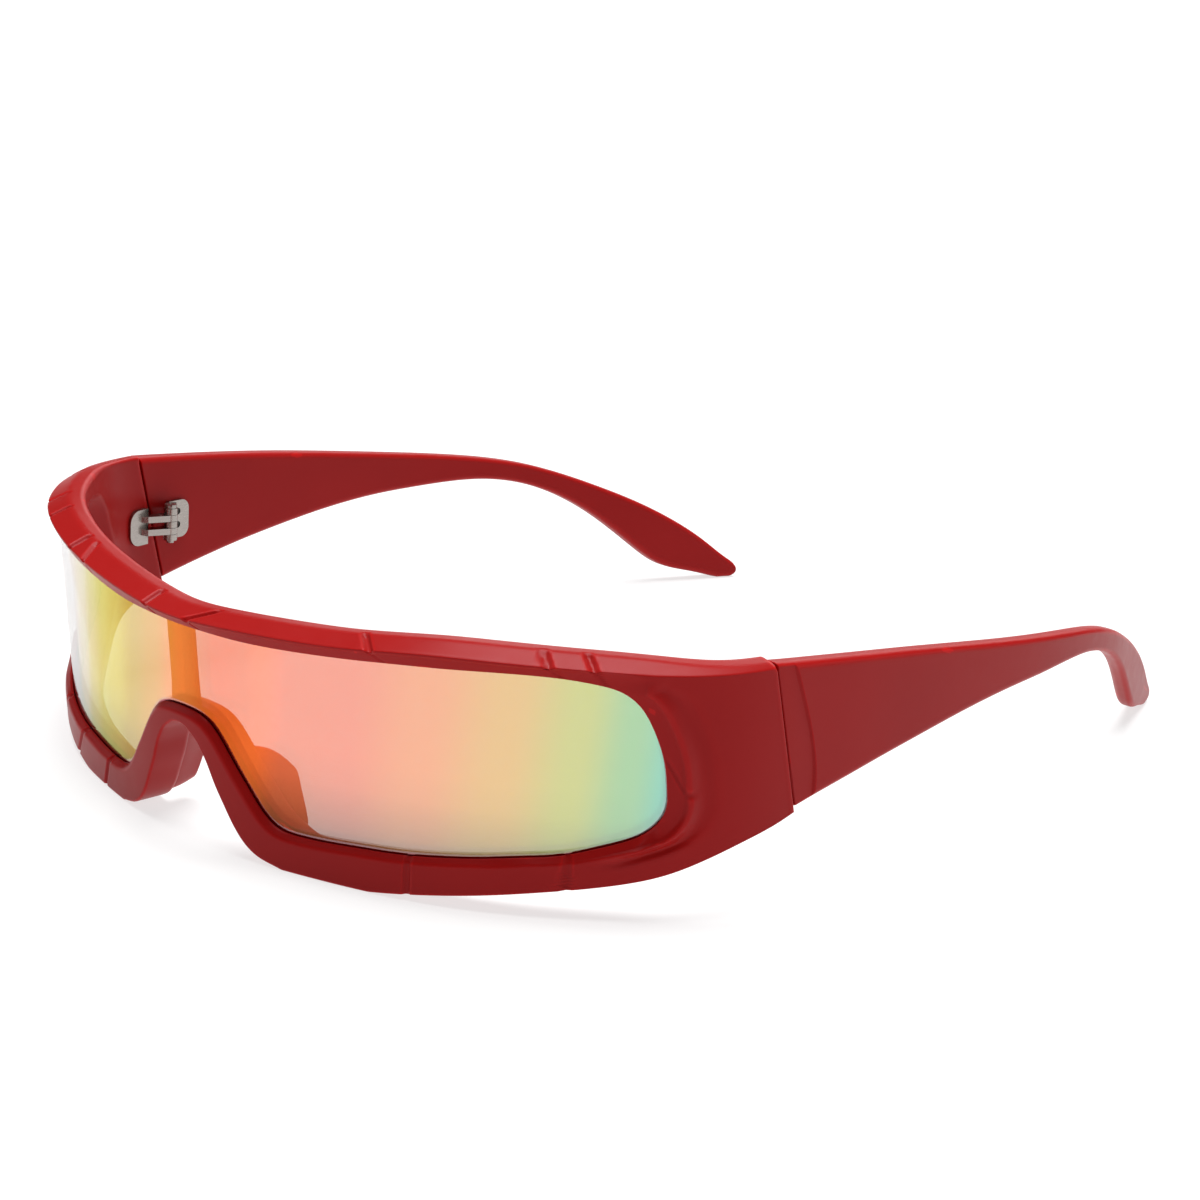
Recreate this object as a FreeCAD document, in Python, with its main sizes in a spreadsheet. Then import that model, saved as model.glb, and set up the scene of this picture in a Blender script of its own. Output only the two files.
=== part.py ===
import FreeCAD, Part
import math
import os

V = FreeCAD.Vector
doc = FreeCAD.newDocument("shield_sunglasses")

# ---------------------------------------------------------------- sizes (mm)
# X to the wearer's left, Y from the front to the temple tips, Z up from the table.
sheet = doc.addObject("Spreadsheet::Sheet", "Sizes")
ROW = [1]


def put(alias, value):
    r = ROW[0]
    sheet.set("A%d" % r, alias)
    sheet.set("B%d" % r, str(value))
    sheet.setAlias("B%d" % r, alias)
    ROW[0] += 1


SCALARS = [
    ("mid_depth", 80.186827903),          # from the front's inner centre to the middle of the whole depth
    ("lens_tilt_deg", 6.685),        # the front leans: lower edge further back
    ("tilt_height", 41.94),         # height at which the plan curve is drawn
    ("band_low", -3.0),
    ("band_height", 43.0),
    ("seam_top_y", 40.29),
    ("seam_top_z", 34.66),
    ("seam_slope", 0.265),
    ("seam_gap", 0.3),
    ("facet_start", 2.5),          # flat top of the rim, measured from its inner wall
    ("facet_drop", 1.35),          # fall of the top facet to the crest, towards the ends
    ("facet_drop_mid", 1.0),       # and at the centre
    ("lens_back", 2.45),           # back of the lens, behind the crest of the rim
    ("lens_front", 1.25),          # front of the lens, behind the crest of the rim
    ("lens_margin", 1.1),          # lens edge inside its slot
    ("lens_lip", 0.4),             # lip of the rim in front of the lens
    ("slot_gap", 0.08),
    ("bridge_bar_half", 2.6),
    ("bridge_bar_low", 17.5),
    ("bridge_bar_high", 32.5),
    ("bridge_bar_off", 3.6),       # front of the bar, from the inner wall
    ("bridge_bar_depth", 2.7),
    ("hinge_x", 62.0),
    ("hinge_y", 44.68),
    ("hinge_z", 21.35),
    ("barrel_r", 1.1),
    ("barrel_h", 1.0),
    ("barrel_gap", 0.06),
    ("screw_r", 0.6),
    ("screw_clear", 0.02),
    ("screw_head_r", 0.95),
    ("screw_head_h", 0.6),
    ("screw_end", 0.45),
    ("slot_w", 0.3),
    ("slot_d", 0.3),
    ("plate_t", 0.8),
    ("front_plate_h", 5.8),
    ("front_plate_z", 20.75),
    ("temple_plate_h", 6.2),
    ("temple_plate_z", 20.65),
    ("rivet_r", 0.55),
    ("rivet_len", 1.9),
    ("rivet_dimple", 0.15),
    ("step_depth", 0.3),
    ("groove_w", 1.2),
    ("groove_d", 0.45),
    ("foot_end_y", 164.0),         # flat foot under the temple tip ends here
]
for name, value in SCALARS:
    put(name, value)

# plan of the front, half: inner wall x, y and wall thickness to the crest
FRONT = [
    (0.00, 0.00, 5.86), (6.72, 0.41, 5.85), (13.36, 1.53, 5.83), (19.90, 3.11, 5.79),
    (26.36, 5.02, 5.73), (32.66, 7.39, 5.66), (38.68, 10.40, 5.57), (44.32, 14.07, 5.46),
    (49.50, 18.36, 5.35), (54.37, 23.01, 5.15), (59.03, 27.87, 4.60), (62.70, 33.40, 3.70),
    (64.36, 39.93, 3.38), (65.04, 47.51, 3.30), (65.25, 51.0, 3.30),
]
for i, (x, y, t) in enumerate(FRONT):
    put("front_x_%02d" % i, x)
    put("front_y_%02d" % i, y)
    put("front_t_%02d" % i, t)

# plan of a temple: inner wall x, y and thickness
TEMPLE = [
    (63.70, 36.50, 3.42), (64.36, 39.93, 3.38), (65.04, 47.51, 3.29), (65.46, 55.12, 3.22),
    (65.71, 62.73, 3.15), (65.81, 70.34, 3.09), (65.77, 77.96, 3.04), (65.59, 85.57, 3.00),
    (65.24, 93.18, 2.96), (64.64, 100.77, 2.92), (63.66, 108.32, 2.90), (62.26, 115.81, 2.88),
    (60.45, 123.20, 2.86), (58.16, 130.46, 2.86), (55.44, 137.57, 2.88), (52.50, 144.60, 2.95),
    (49.55, 151.62, 3.05), (46.60, 158.65, 3.05), (43.40, 166.30, 3.05),
]
for i, (x, y, t) in enumerate(TEMPLE):
    put("temple_x_%02d" % i, x)
    put("temple_y_%02d" % i, y)
    put("temple_t_%02d" % i, t)

# upper edge of the front over x, lower edge of the front over y
TOP = [(0.0, 33.67), (6.7, 34.0), (13.4, 34.43), (19.9, 34.84), (26.4, 35.34), (32.7, 36.04), (38.7, 36.56),
       (44.3, 36.64), (49.5, 36.5), (54.4, 36.27), (59.0, 35.9), (62.8, 35.33), (66.0, 34.83), (71.0, 34.52)]
LOW = [(5.2, 0.0), (7.6, 0.9), (12.2, 2.35), (16.8, 3.62), (22.0, 4.85), (27.7, 6.6),
       (31.9, 8.45), (37.0, 10.55), (43.6, 12.6), (46.6, 13.65), (52.0, 15.4)]
for i, (a, b) in enumerate(TOP):
    put("top_x_%02d" % i, a)
    put("top_z_%02d" % i, b)
for i, (a, b) in enumerate(LOW):
    put("low_y_%02d" % i, a)
    put("low_z_%02d" % i, b)

# lens opening, half outline in the front view, from the top centre round to the nose
LENS = [(0.0, 31.23), (5.25, 31.27), (12.1, 31.31), (18.46, 31.59), (24.43, 32.0), (30.06, 32.45), (35.27, 32.87),
        (40.07, 33.14), (44.5, 33.38), (48.58, 33.48), (52.38, 33.31), (55.94, 32.64), (57.66, 31.93), (59.28, 30.08),
        (60.23, 27.52), (60.85, 24.78), (61.23, 22.02), (61.36, 18.55), (61.18, 15.47), (60.35, 13.49), (59.1, 12.05),
        (55.62, 10.19), (51.92, 8.78), (47.98, 8.07), (43.71, 7.33), (39.08, 6.68), (34.06, 6.11), (28.61, 5.76),
        (22.76, 5.37), (19.4, 5.28), (16.8, 5.5), (15.3, 6.11), (14.2, 6.97), (12.7, 8.73), (11.2, 10.79), (10.3, 12.0),
        (9.0, 13.81), (7.95, 15.32), (6.5, 17.12), (4.9, 18.43), (3.2, 19.04), (1.5, 19.24), (0.0, 19.29)]
for i, (a, b) in enumerate(LENS):
    put("lens_x_%02d" % i, a)
    put("lens_z_%02d" % i, b)

# nose cut-out, half outline in the front view, from its crown down to the table
NOSE = [(0.0, 17.05), (1.3, 16.84), (2.3, 16.19), (3.4, 15.33), (4.3, 14.12), (5.2, 12.62), (6.0, 10.81), (6.8, 9.1),
        (7.8, 7.3), (8.8, 5.49), (9.9, 3.78), (11.7, 1.87), (13.8, 0.76), (16.5, 0.15), (18.5, -0.5)]
for i, (a, b) in enumerate(NOSE):
    put("nose_x_%02d" % i, a)
    put("nose_z_%02d" % i, b)

# temple side view: upper edge and lower edge over y
TTOP = [(36.79, 35.04), (40.72, 34.66), (48.28, 33.92), (55.88, 33.15), (63.48, 32.34), (71.07, 31.46), (78.67, 30.49),
        (86.26, 29.48), (93.85, 28.47), (101.42, 27.48), (108.95, 26.45), (116.42, 25.28), (123.78, 23.71), (130.99, 21.49),
        (138.04, 18.77), (145.0, 15.71), (151.94, 12.0), (158.86, 7.28), (163.34, 3.7)]
TLOW = [(161.8, 0.0), (160.2, 0.42), (156.5, 1.45), (152.9, 2.35), (150.9, 3.1), (148.5, 4.6), (146.0, 6.6), (138.1, 12.95),
        (130.9, 17.3), (123.7, 20.05), (116.3, 21.45), (108.8, 21.75), (101.3, 21.6), (93.7, 21.36), (86.1, 20.8),
        (78.4, 19.9), (70.8, 18.77), (63.1, 17.5), (55.5, 16.05), (47.8, 14.45), (42.3, 13.2)]
for i, (a, b) in enumerate(TTOP):
    put("ttop_y_%02d" % i, a)
    put("ttop_z_%02d" % i, b)
for i, (a, b) in enumerate(TLOW):
    put("tlow_y_%02d" % i, a)
    put("tlow_z_%02d" % i, b)

# shallow grooves across the rim: place along the wall from the centre (+ left, - right), lean, and where
GROOVES_TOP = [(4.6, 32.0), (29.8, 4.0), (52.0, 2.0), (57.5, 2.0), (-5.2, -14.0), (-24.4, -22.0), (-28.4, -10.0),
               (-41.0, -12.0), (-48.8, -14.0), (-66.0, -8.0)]
GROOVES_LOW = [(34.2, 4.0), (53.8, 4.0), (-13.5, -10.0), (-23.5, -14.0), (-40.0, -10.0)]
for i, (a, b) in enumerate(GROOVES_TOP):
    put("gtop_s_%02d" % i, a)
    put("gtop_lean_%02d" % i, b)
for i, (a, b) in enumerate(GROOVES_LOW):
    put("glow_s_%02d" % i, a)
    put("glow_lean_%02d" % i, b)
doc.recompute()


def val(alias):
    return float(sheet.get(alias))


def table(*aliases):
    rows = []
    i = 0
    while True:
        try:
            rows.append(tuple(val(a + "_%02d" % i) for a in aliases))
        except Exception:
            return rows
        i += 1


front = table("front_x", "front_y", "front_t")
temple = table("temple_x", "temple_y", "temple_t")
top = table("top_x", "top_z")
low = table("low_y", "low_z")
lens = table("lens_x", "lens_z")
nose = table("nose_x", "nose_z")
ttop = table("ttop_y", "ttop_z")
tlow = table("tlow_y", "tlow_z")
TILT = math.tan(math.radians(val("lens_tilt_deg")))
SHIFT = V(0, -val("mid_depth"), 0)     # every piece is placed so that the middle of the depth is at y = 0


# ---------------------------------------------------------------- curves
def spline(points):
    c = Part.BSplineCurve()
    c.interpolate([V(*p) for p in points])
    return c


def plan_frames(rows, symmetric):
    """Inner wall points with outward normals in plan, and wall thickness."""
    half = [(x, y) for x, y, t in rows]
    if symmetric:
        pts = [(-x, y) for x, y in reversed(half[1:])] + half
        th = [t for x, y, t in reversed(rows[1:])] + [t for x, y, t in rows]
    else:
        pts, th = half, [t for x, y, t in rows]
    c = spline([(x, y, 0) for x, y in pts])
    out = []
    for (x, y), t in zip(pts, th):
        d = c.tangent(c.parameter(V(x, y, 0)))[0]
        out.append(((x, y), (d.y, -d.x), t))
    return c, out


front_curve, front_frames = plan_frames(front, True)
temple_curve, temple_frames = plan_frames(temple, False)
front_len = front_curve.length()


def offset_points(frames, off, share=0.0, shift_y=0.0):
    return [(p[0] + (off + share * t) * n[0], p[1] + (off + share * t) * n[1] + shift_y) for p, n, t in frames]


def wall(s, off, z):
    """Point on the front at arc length s from the centre, off from the inner wall, at height z."""
    u = front_curve.parameterAtDistance(front_len / 2 + s, front_curve.FirstParameter)
    p = front_curve.value(u)
    d = front_curve.tangent(u)[0]
    return V(p.x + off * d.y, p.y - off * d.x + (val("tilt_height") - z) * TILT, z)


def wall_t(s):
    """Wall thickness at arc length s."""
    u = front_curve.parameterAtDistance(front_len / 2 + abs(s), front_curve.FirstParameter)
    y = front_curve.value(u).y
    for (x0, y0, t0), (x1, y1, t1) in zip(front, front[1:]):
        if y0 <= y <= y1:
            return t0 + (t1 - t0) * (y - y0) / (y1 - y0)
    return front[-1][2]


def lookup(rows, a):
    for (a0, b0), (a1, b1) in zip(rows, rows[1:]):
        if a0 <= a <= a1:
            return b0 + (b1 - b0) * (a - a0) / (a1 - a0)
    return rows[0][1] if a < rows[0][0] else rows[-1][1]


def top_z(x):
    return lookup(top, abs(x))


# ---------------------------------------------------------------- body helpers
def plane(body, role):
    return [f for f in body.Origin.OriginFeatures if f.Role == role][0]


def new_body(name):
    b = doc.addObject("PartDesign::Body", name)
    b.Placement = FreeCAD.Placement(SHIFT, FreeCAD.Rotation())
    return b


def new_sketch(body, role, offset=0.0):
    sk = body.newObject("Sketcher::SketchObject", body.Name + "_sketch")
    sk.AttachmentSupport = [(plane(body, role), "")]
    sk.MapMode = "FlatFace"
    sk.AttachmentOffset = FreeCAD.Placement(V(0, 0, offset), FreeCAD.Rotation())
    return sk


def add_line(sk, a, b):
    sk.addGeometry(Part.LineSegment(V(a[0], a[1], 0), V(b[0], b[1], 0)), False)


def add_path(sk, points):
    for a, b in zip(points, points[1:]):
        add_line(sk, a, b)


def add_spline(sk, points):
    sk.addGeometry(spline([(a, b, 0) for a, b in points]), False)


def add_spline_runs(sk, points, count):
    """One smooth curve through the points, drawn as several edges end to end."""
    c = spline([(a, b, 0) for a, b in points])
    u0, u1 = c.FirstParameter, c.LastParameter
    marks = [u0 + (u1 - u0) * k / count for k in range(count + 1)]
    for a, b in zip(marks, marks[1:]):
        run = c.copy()
        run.segment(a, b)
        sk.addGeometry(run, False)


def add_loop(sk, points):
    """Rectilinear loop."""
    add_path(sk, list(points) + [points[0]])


def pad(body, sk, length, expr=None, symmetric=False, reverse=False, direction=None):
    f = body.newObject("PartDesign::Pad", body.Name + "_pad")
    f.Profile = sk
    f.Length = length
    if expr:
        f.setExpression("Length", expr)
    if symmetric:
        f.SideType = "Symmetric"
    f.Reversed = reverse
    if direction:
        f.UseCustomVector = True
        f.Direction = V(*direction)
        f.AlongSketchNormal = True
    doc.recompute()
    return f


def pocket(body, sk, length=400.0):
    f = body.newObject("PartDesign::Pocket", body.Name + "_pocket")
    f.Profile = sk
    f.Type = "Length"
    f.SideType = "Symmetric"
    f.Length = length
    doc.recompute()
    return f


def feature(name, shape):
    o = doc.addObject("Part::Feature", name)
    o.Shape = shape
    o.Placement = FreeCAD.Placement(SHIFT, FreeCAD.Rotation())
    return o


def cut(name, base, tools):
    """Base less each tool in turn; only the last cut carries the name."""
    for i, tool in enumerate(tools):
        o = doc.addObject("Part::Cut", name if i == len(tools) - 1 else name + "_stage")
        o.Base = base
        o.Tool = tool
        o.Refine = False
        doc.recompute()
        base = o
    return base


def group(name, members):
    o = doc.addObject("Part::Compound", name)
    o.Links = members
    doc.recompute()
    return o


def facet_fall(s):
    """Fall of the brow facet at arc length s."""
    return val("facet_drop_mid") + (val("facet_drop") - val("facet_drop_mid")) * min(1.0, abs(s) / 40.0)


def seam_y(z):
    return val("seam_top_y") + (val("seam_top_z") - z) * val("seam_slope")


# ---------------------------------------------------------------- front frame
def front_band(body, off0, share0, off1, share1):
    """Tilted wall between two offsets of the plan curve, each with a share of the wall thickness."""
    shift = (val("tilt_height") - val("band_low")) * TILT
    sk = new_sketch(body, "XY_Plane", val("band_low"))
    inner = offset_points(front_frames, off0, share0, shift)
    outer = offset_points(front_frames, off1, share1, shift)
    add_spline(sk, inner)
    add_spline(sk, outer)
    add_line(sk, inner[0], outer[0])
    add_line(sk, inner[-1], outer[-1])
    return pad(body, sk, val("band_height"), "Sizes.band_height", direction=(0, -TILT, 1))


def mirrored(points):
    """Full symmetric run from the half run that starts on the centre line."""
    return [(-a, b) for a, b in reversed(points[1:])] + list(points)


def loop_offset(points, d):
    """Half outline moved outwards by d, ends kept on the centre line."""
    out = []
    n = len(points)
    for i, (a, b) in enumerate(points):
        a0, b0 = points[i - 1] if i > 0 else (-points[1][0], points[1][1])
        a1, b1 = points[i + 1] if i < n - 1 else (-points[n - 2][0], points[n - 2][1])
        ta, tb = a1 - a0, b1 - b0
        m = math.hypot(ta, tb)
        out.append((a - d * tb / m, b + d * ta / m))
    return out


fb = new_body("front_shell")
front_band(fb, 0.0, 0.0, 0.0, 1.0)

# top edge
sk = new_sketch(fb, "XZ_Plane")
run = mirrored(top)
add_spline(sk, run)
add_path(sk, [run[-1], (80, run[-1][1]), (80, 60), (-80, 60), (-80, run[0][1]), run[0]])
pocket(fb, sk)

# bottom edge, flat where the front rests, and the tilted end faces at the seams
sk = new_sketch(fb, "YZ_Plane")
add_spline(sk, low)
add_path(sk, [low[-1], (60, low[-1][1]), (60, -20), (-30, -20), (-30, 0), low[0]])
pocket(fb, sk)
sk = new_sketch(fb, "YZ_Plane")
g = val("seam_gap") / 2
add_loop(sk, [(seam_y(50) - g, 50), (90, 50), (90, -10), (seam_y(-10) - g, -10)])
pocket(fb, sk)

# lens opening and nose cut-out
sk = new_sketch(fb, "XZ_Plane")
right_side = lens
left_side = [(-a, b) for a, b in reversed(lens)]
add_spline(sk, left_side[:-1] + right_side)
pocket(fb, sk)
sk = new_sketch(fb, "XZ_Plane")
run = mirrored(nose)
add_spline(sk, run)
add_path(sk, [run[-1], (run[-1][0], -8), (run[0][0], -8), run[0]])
pocket(fb, sk)

# bridge bar behind the lens, from the brow to the nose, leaning with the front
sk = new_sketch(fb, "XY_Plane", val("bridge_bar_low"))
w = val("bridge_bar_half")
y0 = (val("tilt_height") - val("bridge_bar_low")) * TILT - val("bridge_bar_off")
y1 = y0 + val("bridge_bar_depth")
add_loop(sk, [(-w, y0), (w, y0), (w, y1), (-w, y1)])
pad(fb, sk, 1.0, "Sizes.bridge_bar_high - Sizes.bridge_bar_low", direction=(0, -TILT, 1))

# moulded nose pads, flaring back and outwards
PADS = [
    (-0.5, 2.0, [(3.2, 15.5), (5.0, 13.0), (6.6, 9.6), (8.9, 5.3)]),
    (4.0, 1.9, [(4.6, 14.6), (6.2, 12.0), (7.6, 8.8), (9.4, 4.9)]),
    (7.5, 1.7, [(6.9, 12.4), (8.0, 10.3), (9.0, 7.8), (10.0, 5.0)]),
    (10.0, 1.2, [(8.8, 9.9), (9.4, 8.6), (10.0, 7.2), (10.5, 5.8)]),
]
for side in (1, -1):
    sections = []
    for y, t, pts in PADS:
        outer = []
        for i, (a, b) in enumerate(pts):
            a0, b0 = pts[max(i - 1, 0)]
            a1, b1 = pts[min(i + 1, len(pts) - 1)]
            m = math.hypot(a1 - a0, b1 - b0)
            outer.append((a - t * (b1 - b0) / m, b + t * (a1 - a0) / m))
        sk = new_sketch(fb, "XZ_Plane", -y)
        add_loop(sk, [(side * a, b) for a, b in pts + list(reversed(outer))])
        sections.append(sk)
    doc.recompute()
    lo = fb.newObject("PartDesign::AdditiveLoft", "front_shell_nose_pad")
    lo.Profile = sections[0]
    lo.Sections = sections[1:]
    doc.recompute()


# tools that give the rim its crest: the bevel round the lens and the facet along the brow
def s_at(x, depth):
    """Arc length at which the wall, depth behind its crest, reaches x."""
    lo_s, hi_s = 0.0, front_len / 2 - 1
    for _ in range(50):
        m = (lo_s + hi_s) / 2
        if wall(m, wall_t(m) - depth, 20.0).x < x:
            lo_s = m
        else:
            hi_s = m
    return (lo_s + hi_s) / 2


BEVEL = [(0.0, 2.3), (0.1, 2.5), (0.36, 2.6), (0.44, 2.6), (0.5, 2.7), (0.54, 3.2), (0.6, 1.7), (0.66, 0.9), (0.84, 0.9), (1.0, 0.9)]


def bevel_width(x, z, share):
    """Width of the bevel at a share of the half outline, from the top centre to the nose; it ends just under the brow facet."""
    w = lookup(BEVEL, share)
    if z > 20.0 and share < 0.42:
        return min(w, top_z(x) - facet_fall(x) - 0.15 - z)
    return w


edge = left_side[:-1] + right_side[:-1]
around = [(p.x, p.z) for p in spline([(x, 0, z) for x, z in edge + edge[:1]]).toShape().discretize(Number=97)[:-1]]
lip = val("lens_front") - val("lens_lip")
placed = [(math.copysign(s_at(abs(x), lip), x), z) for x, z in around]
loops = [[], [], []]
for i, (s, z) in enumerate(placed):
    s0, z0 = placed[i - 1]
    s1, z1 = placed[(i + 1) % len(placed)]
    m = math.hypot(s1 - s0, z1 - z0)
    ns, nz = -(z1 - z0) / m, (s1 - s0) / m
    share = 1.0 - 2.0 * i / len(placed) if i <= len(placed) / 2 else 2.0 * i / len(placed) - 1.0
    b = bevel_width(around[i][0], around[i][1], share)
    a0 = wall_t(s) - lip
    t = wall_t(s + b * ns)
    k = 1.5
    A = wall(s - 0.12 * ns, a0 - 0.12 * (t - a0) / b, z - 0.12 * nz)
    B = wall(s + k * b * ns, a0 + k * (t - a0), z + k * b * nz)
    C = A + V(-0.5 * ns, -9.0, -0.5 * nz)
    for loop, p in zip(loops, (A, B, C)):
        loop.append(p)
rails = []
for loop in loops:
    c = Part.BSplineCurve()
    c.interpolate(Points=loop, PeriodicFlag=True, Parameters=[float(i) for i in range(len(loop) + 1)])
    rails.append(c.toShape())
skins = [Part.makeRuledSurface(rails[0], rails[1]), Part.makeRuledSurface(rails[1], rails[2]), Part.makeRuledSurface(rails[2], rails[0])]
shell = Part.makeShell(skins)
shell.sewShape()
bevel = feature("bevel_tool", Part.makeSolid(shell))

wires = []
n_st = 40
reach = 86.0
for i in range(n_st + 1):
    s = -reach + 2 * reach * i / n_st
    a0 = val("facet_start")
    t = max(wall_t(s), a0 + 0.6)
    drop = facet_fall(s) * min(1.0, (t - a0) / 2.4)
    pa = wall(s, a0, 34.0)
    za = top_z(pa.x)
    k = 1.5
    A = wall(s, a0, za)
    B = wall(s, a0 + k * (t - a0), za - k * drop)
    C = wall(s, a0 + k * (t - a0), za + 3.0)
    D = wall(s, a0, za + 3.0)
    wires.append(Part.makePolygon([A, B, C, D, A]))
facet = feature("brow_facet_tool", Part.makeLoft(wires, True, False))


def frame_box(name, origin, ex, ey, ez, dims):
    """Box cutter with its own axes, sizes bound to the sheet."""
    bx = doc.addObject("Part::Box", name)
    for prop, d in zip(("Length", "Width", "Height"), dims):
        if isinstance(d, str):
            bx.setExpression(prop, d)
        else:
            setattr(bx, prop, d)
    m = FreeCAD.Matrix(ex.x, ey.x, ez.x, origin.x, ex.y, ey.y, ez.y, origin.y, ex.z, ey.z, ez.z, origin.z, 0, 0, 0, 1)
    bx.Placement = FreeCAD.Placement(SHIFT, FreeCAD.Rotation()).multiply(FreeCAD.Placement(m))
    return bx


def axes_at(s):
    e = wall(s + 0.2, 0, 20.0) - wall(s - 0.2, 0, 20.0)
    e.normalize()
    n = V(e.y, -e.x, 0)
    return e, n


def turned(ex, ey, deg):
    c, q = math.cos(math.radians(deg)), math.sin(math.radians(deg))
    return ex * c + ey * q, ey * c - ex * q


grooves = []
for s, lean in table("gtop_s", "gtop_lean"):
    e, n = axes_at(s)
    a0 = val("facet_start")
    t = wall_t(s)
    f = V(n.x * (t - a0), n.y * (t - a0), -facet_fall(s))
    f.normalize()
    up = e.cross(f)
    if up.z < 0:
        up = up * -1
    ex, ey = turned(e, f, lean)
    ez = ex.cross(ey)
    if ez.z < 0:
        ex = ex * -1
        ez = ex.cross(ey)
    p = wall(s, (a0 + t) / 2, top_z(wall(s, a0, 34).x) - facet_fall(s) / 2)
    o = p - ex * (val("groove_w") / 2) - ey * 2.4 - ez * val("groove_d")
    grooves.append(frame_box("groove_top", o, ex, ey, ez, ("Sizes.groove_w", 6.5, 2.0)))
for s, lean in table("glow_s", "glow_lean"):
    e, n = axes_at(s)
    t = wall_t(s)
    ex, ey = turned(e, V(0, 0, 1), lean)
    ez = ex.cross(ey)
    if ez.dot(n) < 0:
        ex = ex * -1
        ez = ex.cross(ey)
    zb = lookup(low, wall(s, t, 3.0).y)
    p = wall(s, t, zb + 2.0)
    o = p - ex * (val("groove_w") / 2) - ey * 4.5 - ez * val("groove_d")
    grooves.append(frame_box("groove_low", o, ex, ey, ez, ("Sizes.groove_w", 9.0, 2.0)))

# ---------------------------------------------------------------- lens and its slot
def lens_body(name, off0, off1, margin):
    b = new_body(name)
    front_band(b, off0, 1.0, off1, 1.0)
    sk = new_sketch(b, "XZ_Plane")
    half = loop_offset(lens, margin)
    other = [(-a, c) for a, c in reversed(half)]
    add_spline_runs(sk, other[:-1] + half, 14)
    add_loop(sk, [(-90, -20), (90, -20), (90, 60), (-90, 60)])
    pocket(b, sk)
    return b


shield = lens_body("shield_lens", -val("lens_back"), -val("lens_front"), val("lens_margin"))
g = val("slot_gap")
slot = lens_body("lens_slot_tool", -val("lens_back") - g, -val("lens_front") + g, val("lens_margin") + g)

# ---------------------------------------------------------------- temples
def temple_blank(name, side):
    b = new_body(name)
    sk = new_sketch(b, "XY_Plane", -1.0)
    inner = [(side * a, c) for a, c in offset_points(temple_frames, 0.0)]
    outer = [(side * a, c) for a, c in offset_points(temple_frames, 0.0, 1.0)]
    add_spline(sk, inner)
    add_spline(sk, outer)
    add_line(sk, inner[0], outer[0])
    add_line(sk, inner[-1], outer[-1])
    pad(b, sk, 37.0)
    sk = new_sketch(b, "YZ_Plane")
    add_spline(sk, ttop)
    foot = (val("foot_end_y"), 0.0)
    add_spline(sk, [ttop[-1], (164.7, 2.55), (165.25, 1.6), (164.9, 0.5), foot])
    add_line(sk, foot, tlow[0])
    add_spline(sk, tlow)
    add_path(sk, [tlow[-1], (ttop[0][0], tlow[-1][1]), ttop[0]])
    add_loop(sk, [(20, -12), (190, -12), (190, 50), (20, 50)])
    pocket(b, sk)
    sk = new_sketch(b, "YZ_Plane")
    g = val("seam_gap") / 2
    add_loop(sk, [(seam_y(50) + g, 50), (seam_y(-10) + g, -10), (10, -10), (10, 50)])
    pocket(b, sk)
    return b


def step_tool(name, side):
    """Thin layer taken off the outer face just behind the seam."""
    fr = temple_frames[:5]
    inner = [V(side * a, c, -2) for a, c in offset_points(fr, -val("step_depth"), 1.0)]
    outer = [V(side * a, c, -2) for a, c in offset_points(fr, 3.0, 1.0)]
    c0 = Part.BSplineCurve()
    c0.interpolate(inner)
    c1 = Part.BSplineCurve()
    c1.interpolate(outer)
    ring = Part.Wire(Part.__sortEdges__([c0.toShape(), Part.makeLine(inner[-1], outer[-1]), c1.toShape(), Part.makeLine(outer[0], inner[0])]))
    a = Part.Face(ring).extrude(V(0, 0, 45))
    c2 = Part.BSplineCurve()
    pts = [V(0, 42.25, 37.3), V(0, 43.29, 34.79), V(0, 45.76, 28.93), V(0, 48.02, 22.87), V(0, 48.96, 18.15), V(0, 48.68, 11.5)]
    c2.interpolate(pts)
    poly = Part.makePolygon([pts[-1], V(0, 36, 11.5), V(0, 36, 37.3), pts[0]])
    b = Part.Face(Part.Wire(Part.__sortEdges__(poly.Edges + [c2.toShape()]))).extrude(V(side * 90, 0, 0))
    return feature(name, a.common(b))


# ---------------------------------------------------------------- hinges
def level(k):
    """Foot height of barrel k of the five."""
    return val("hinge_z") + k * (val("barrel_h") + val("barrel_gap"))


def circle(sk, x, y, r):
    sk.addGeometry(Part.Circle(V(x, y, 0), V(0, 0, 1), r), False)


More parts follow.
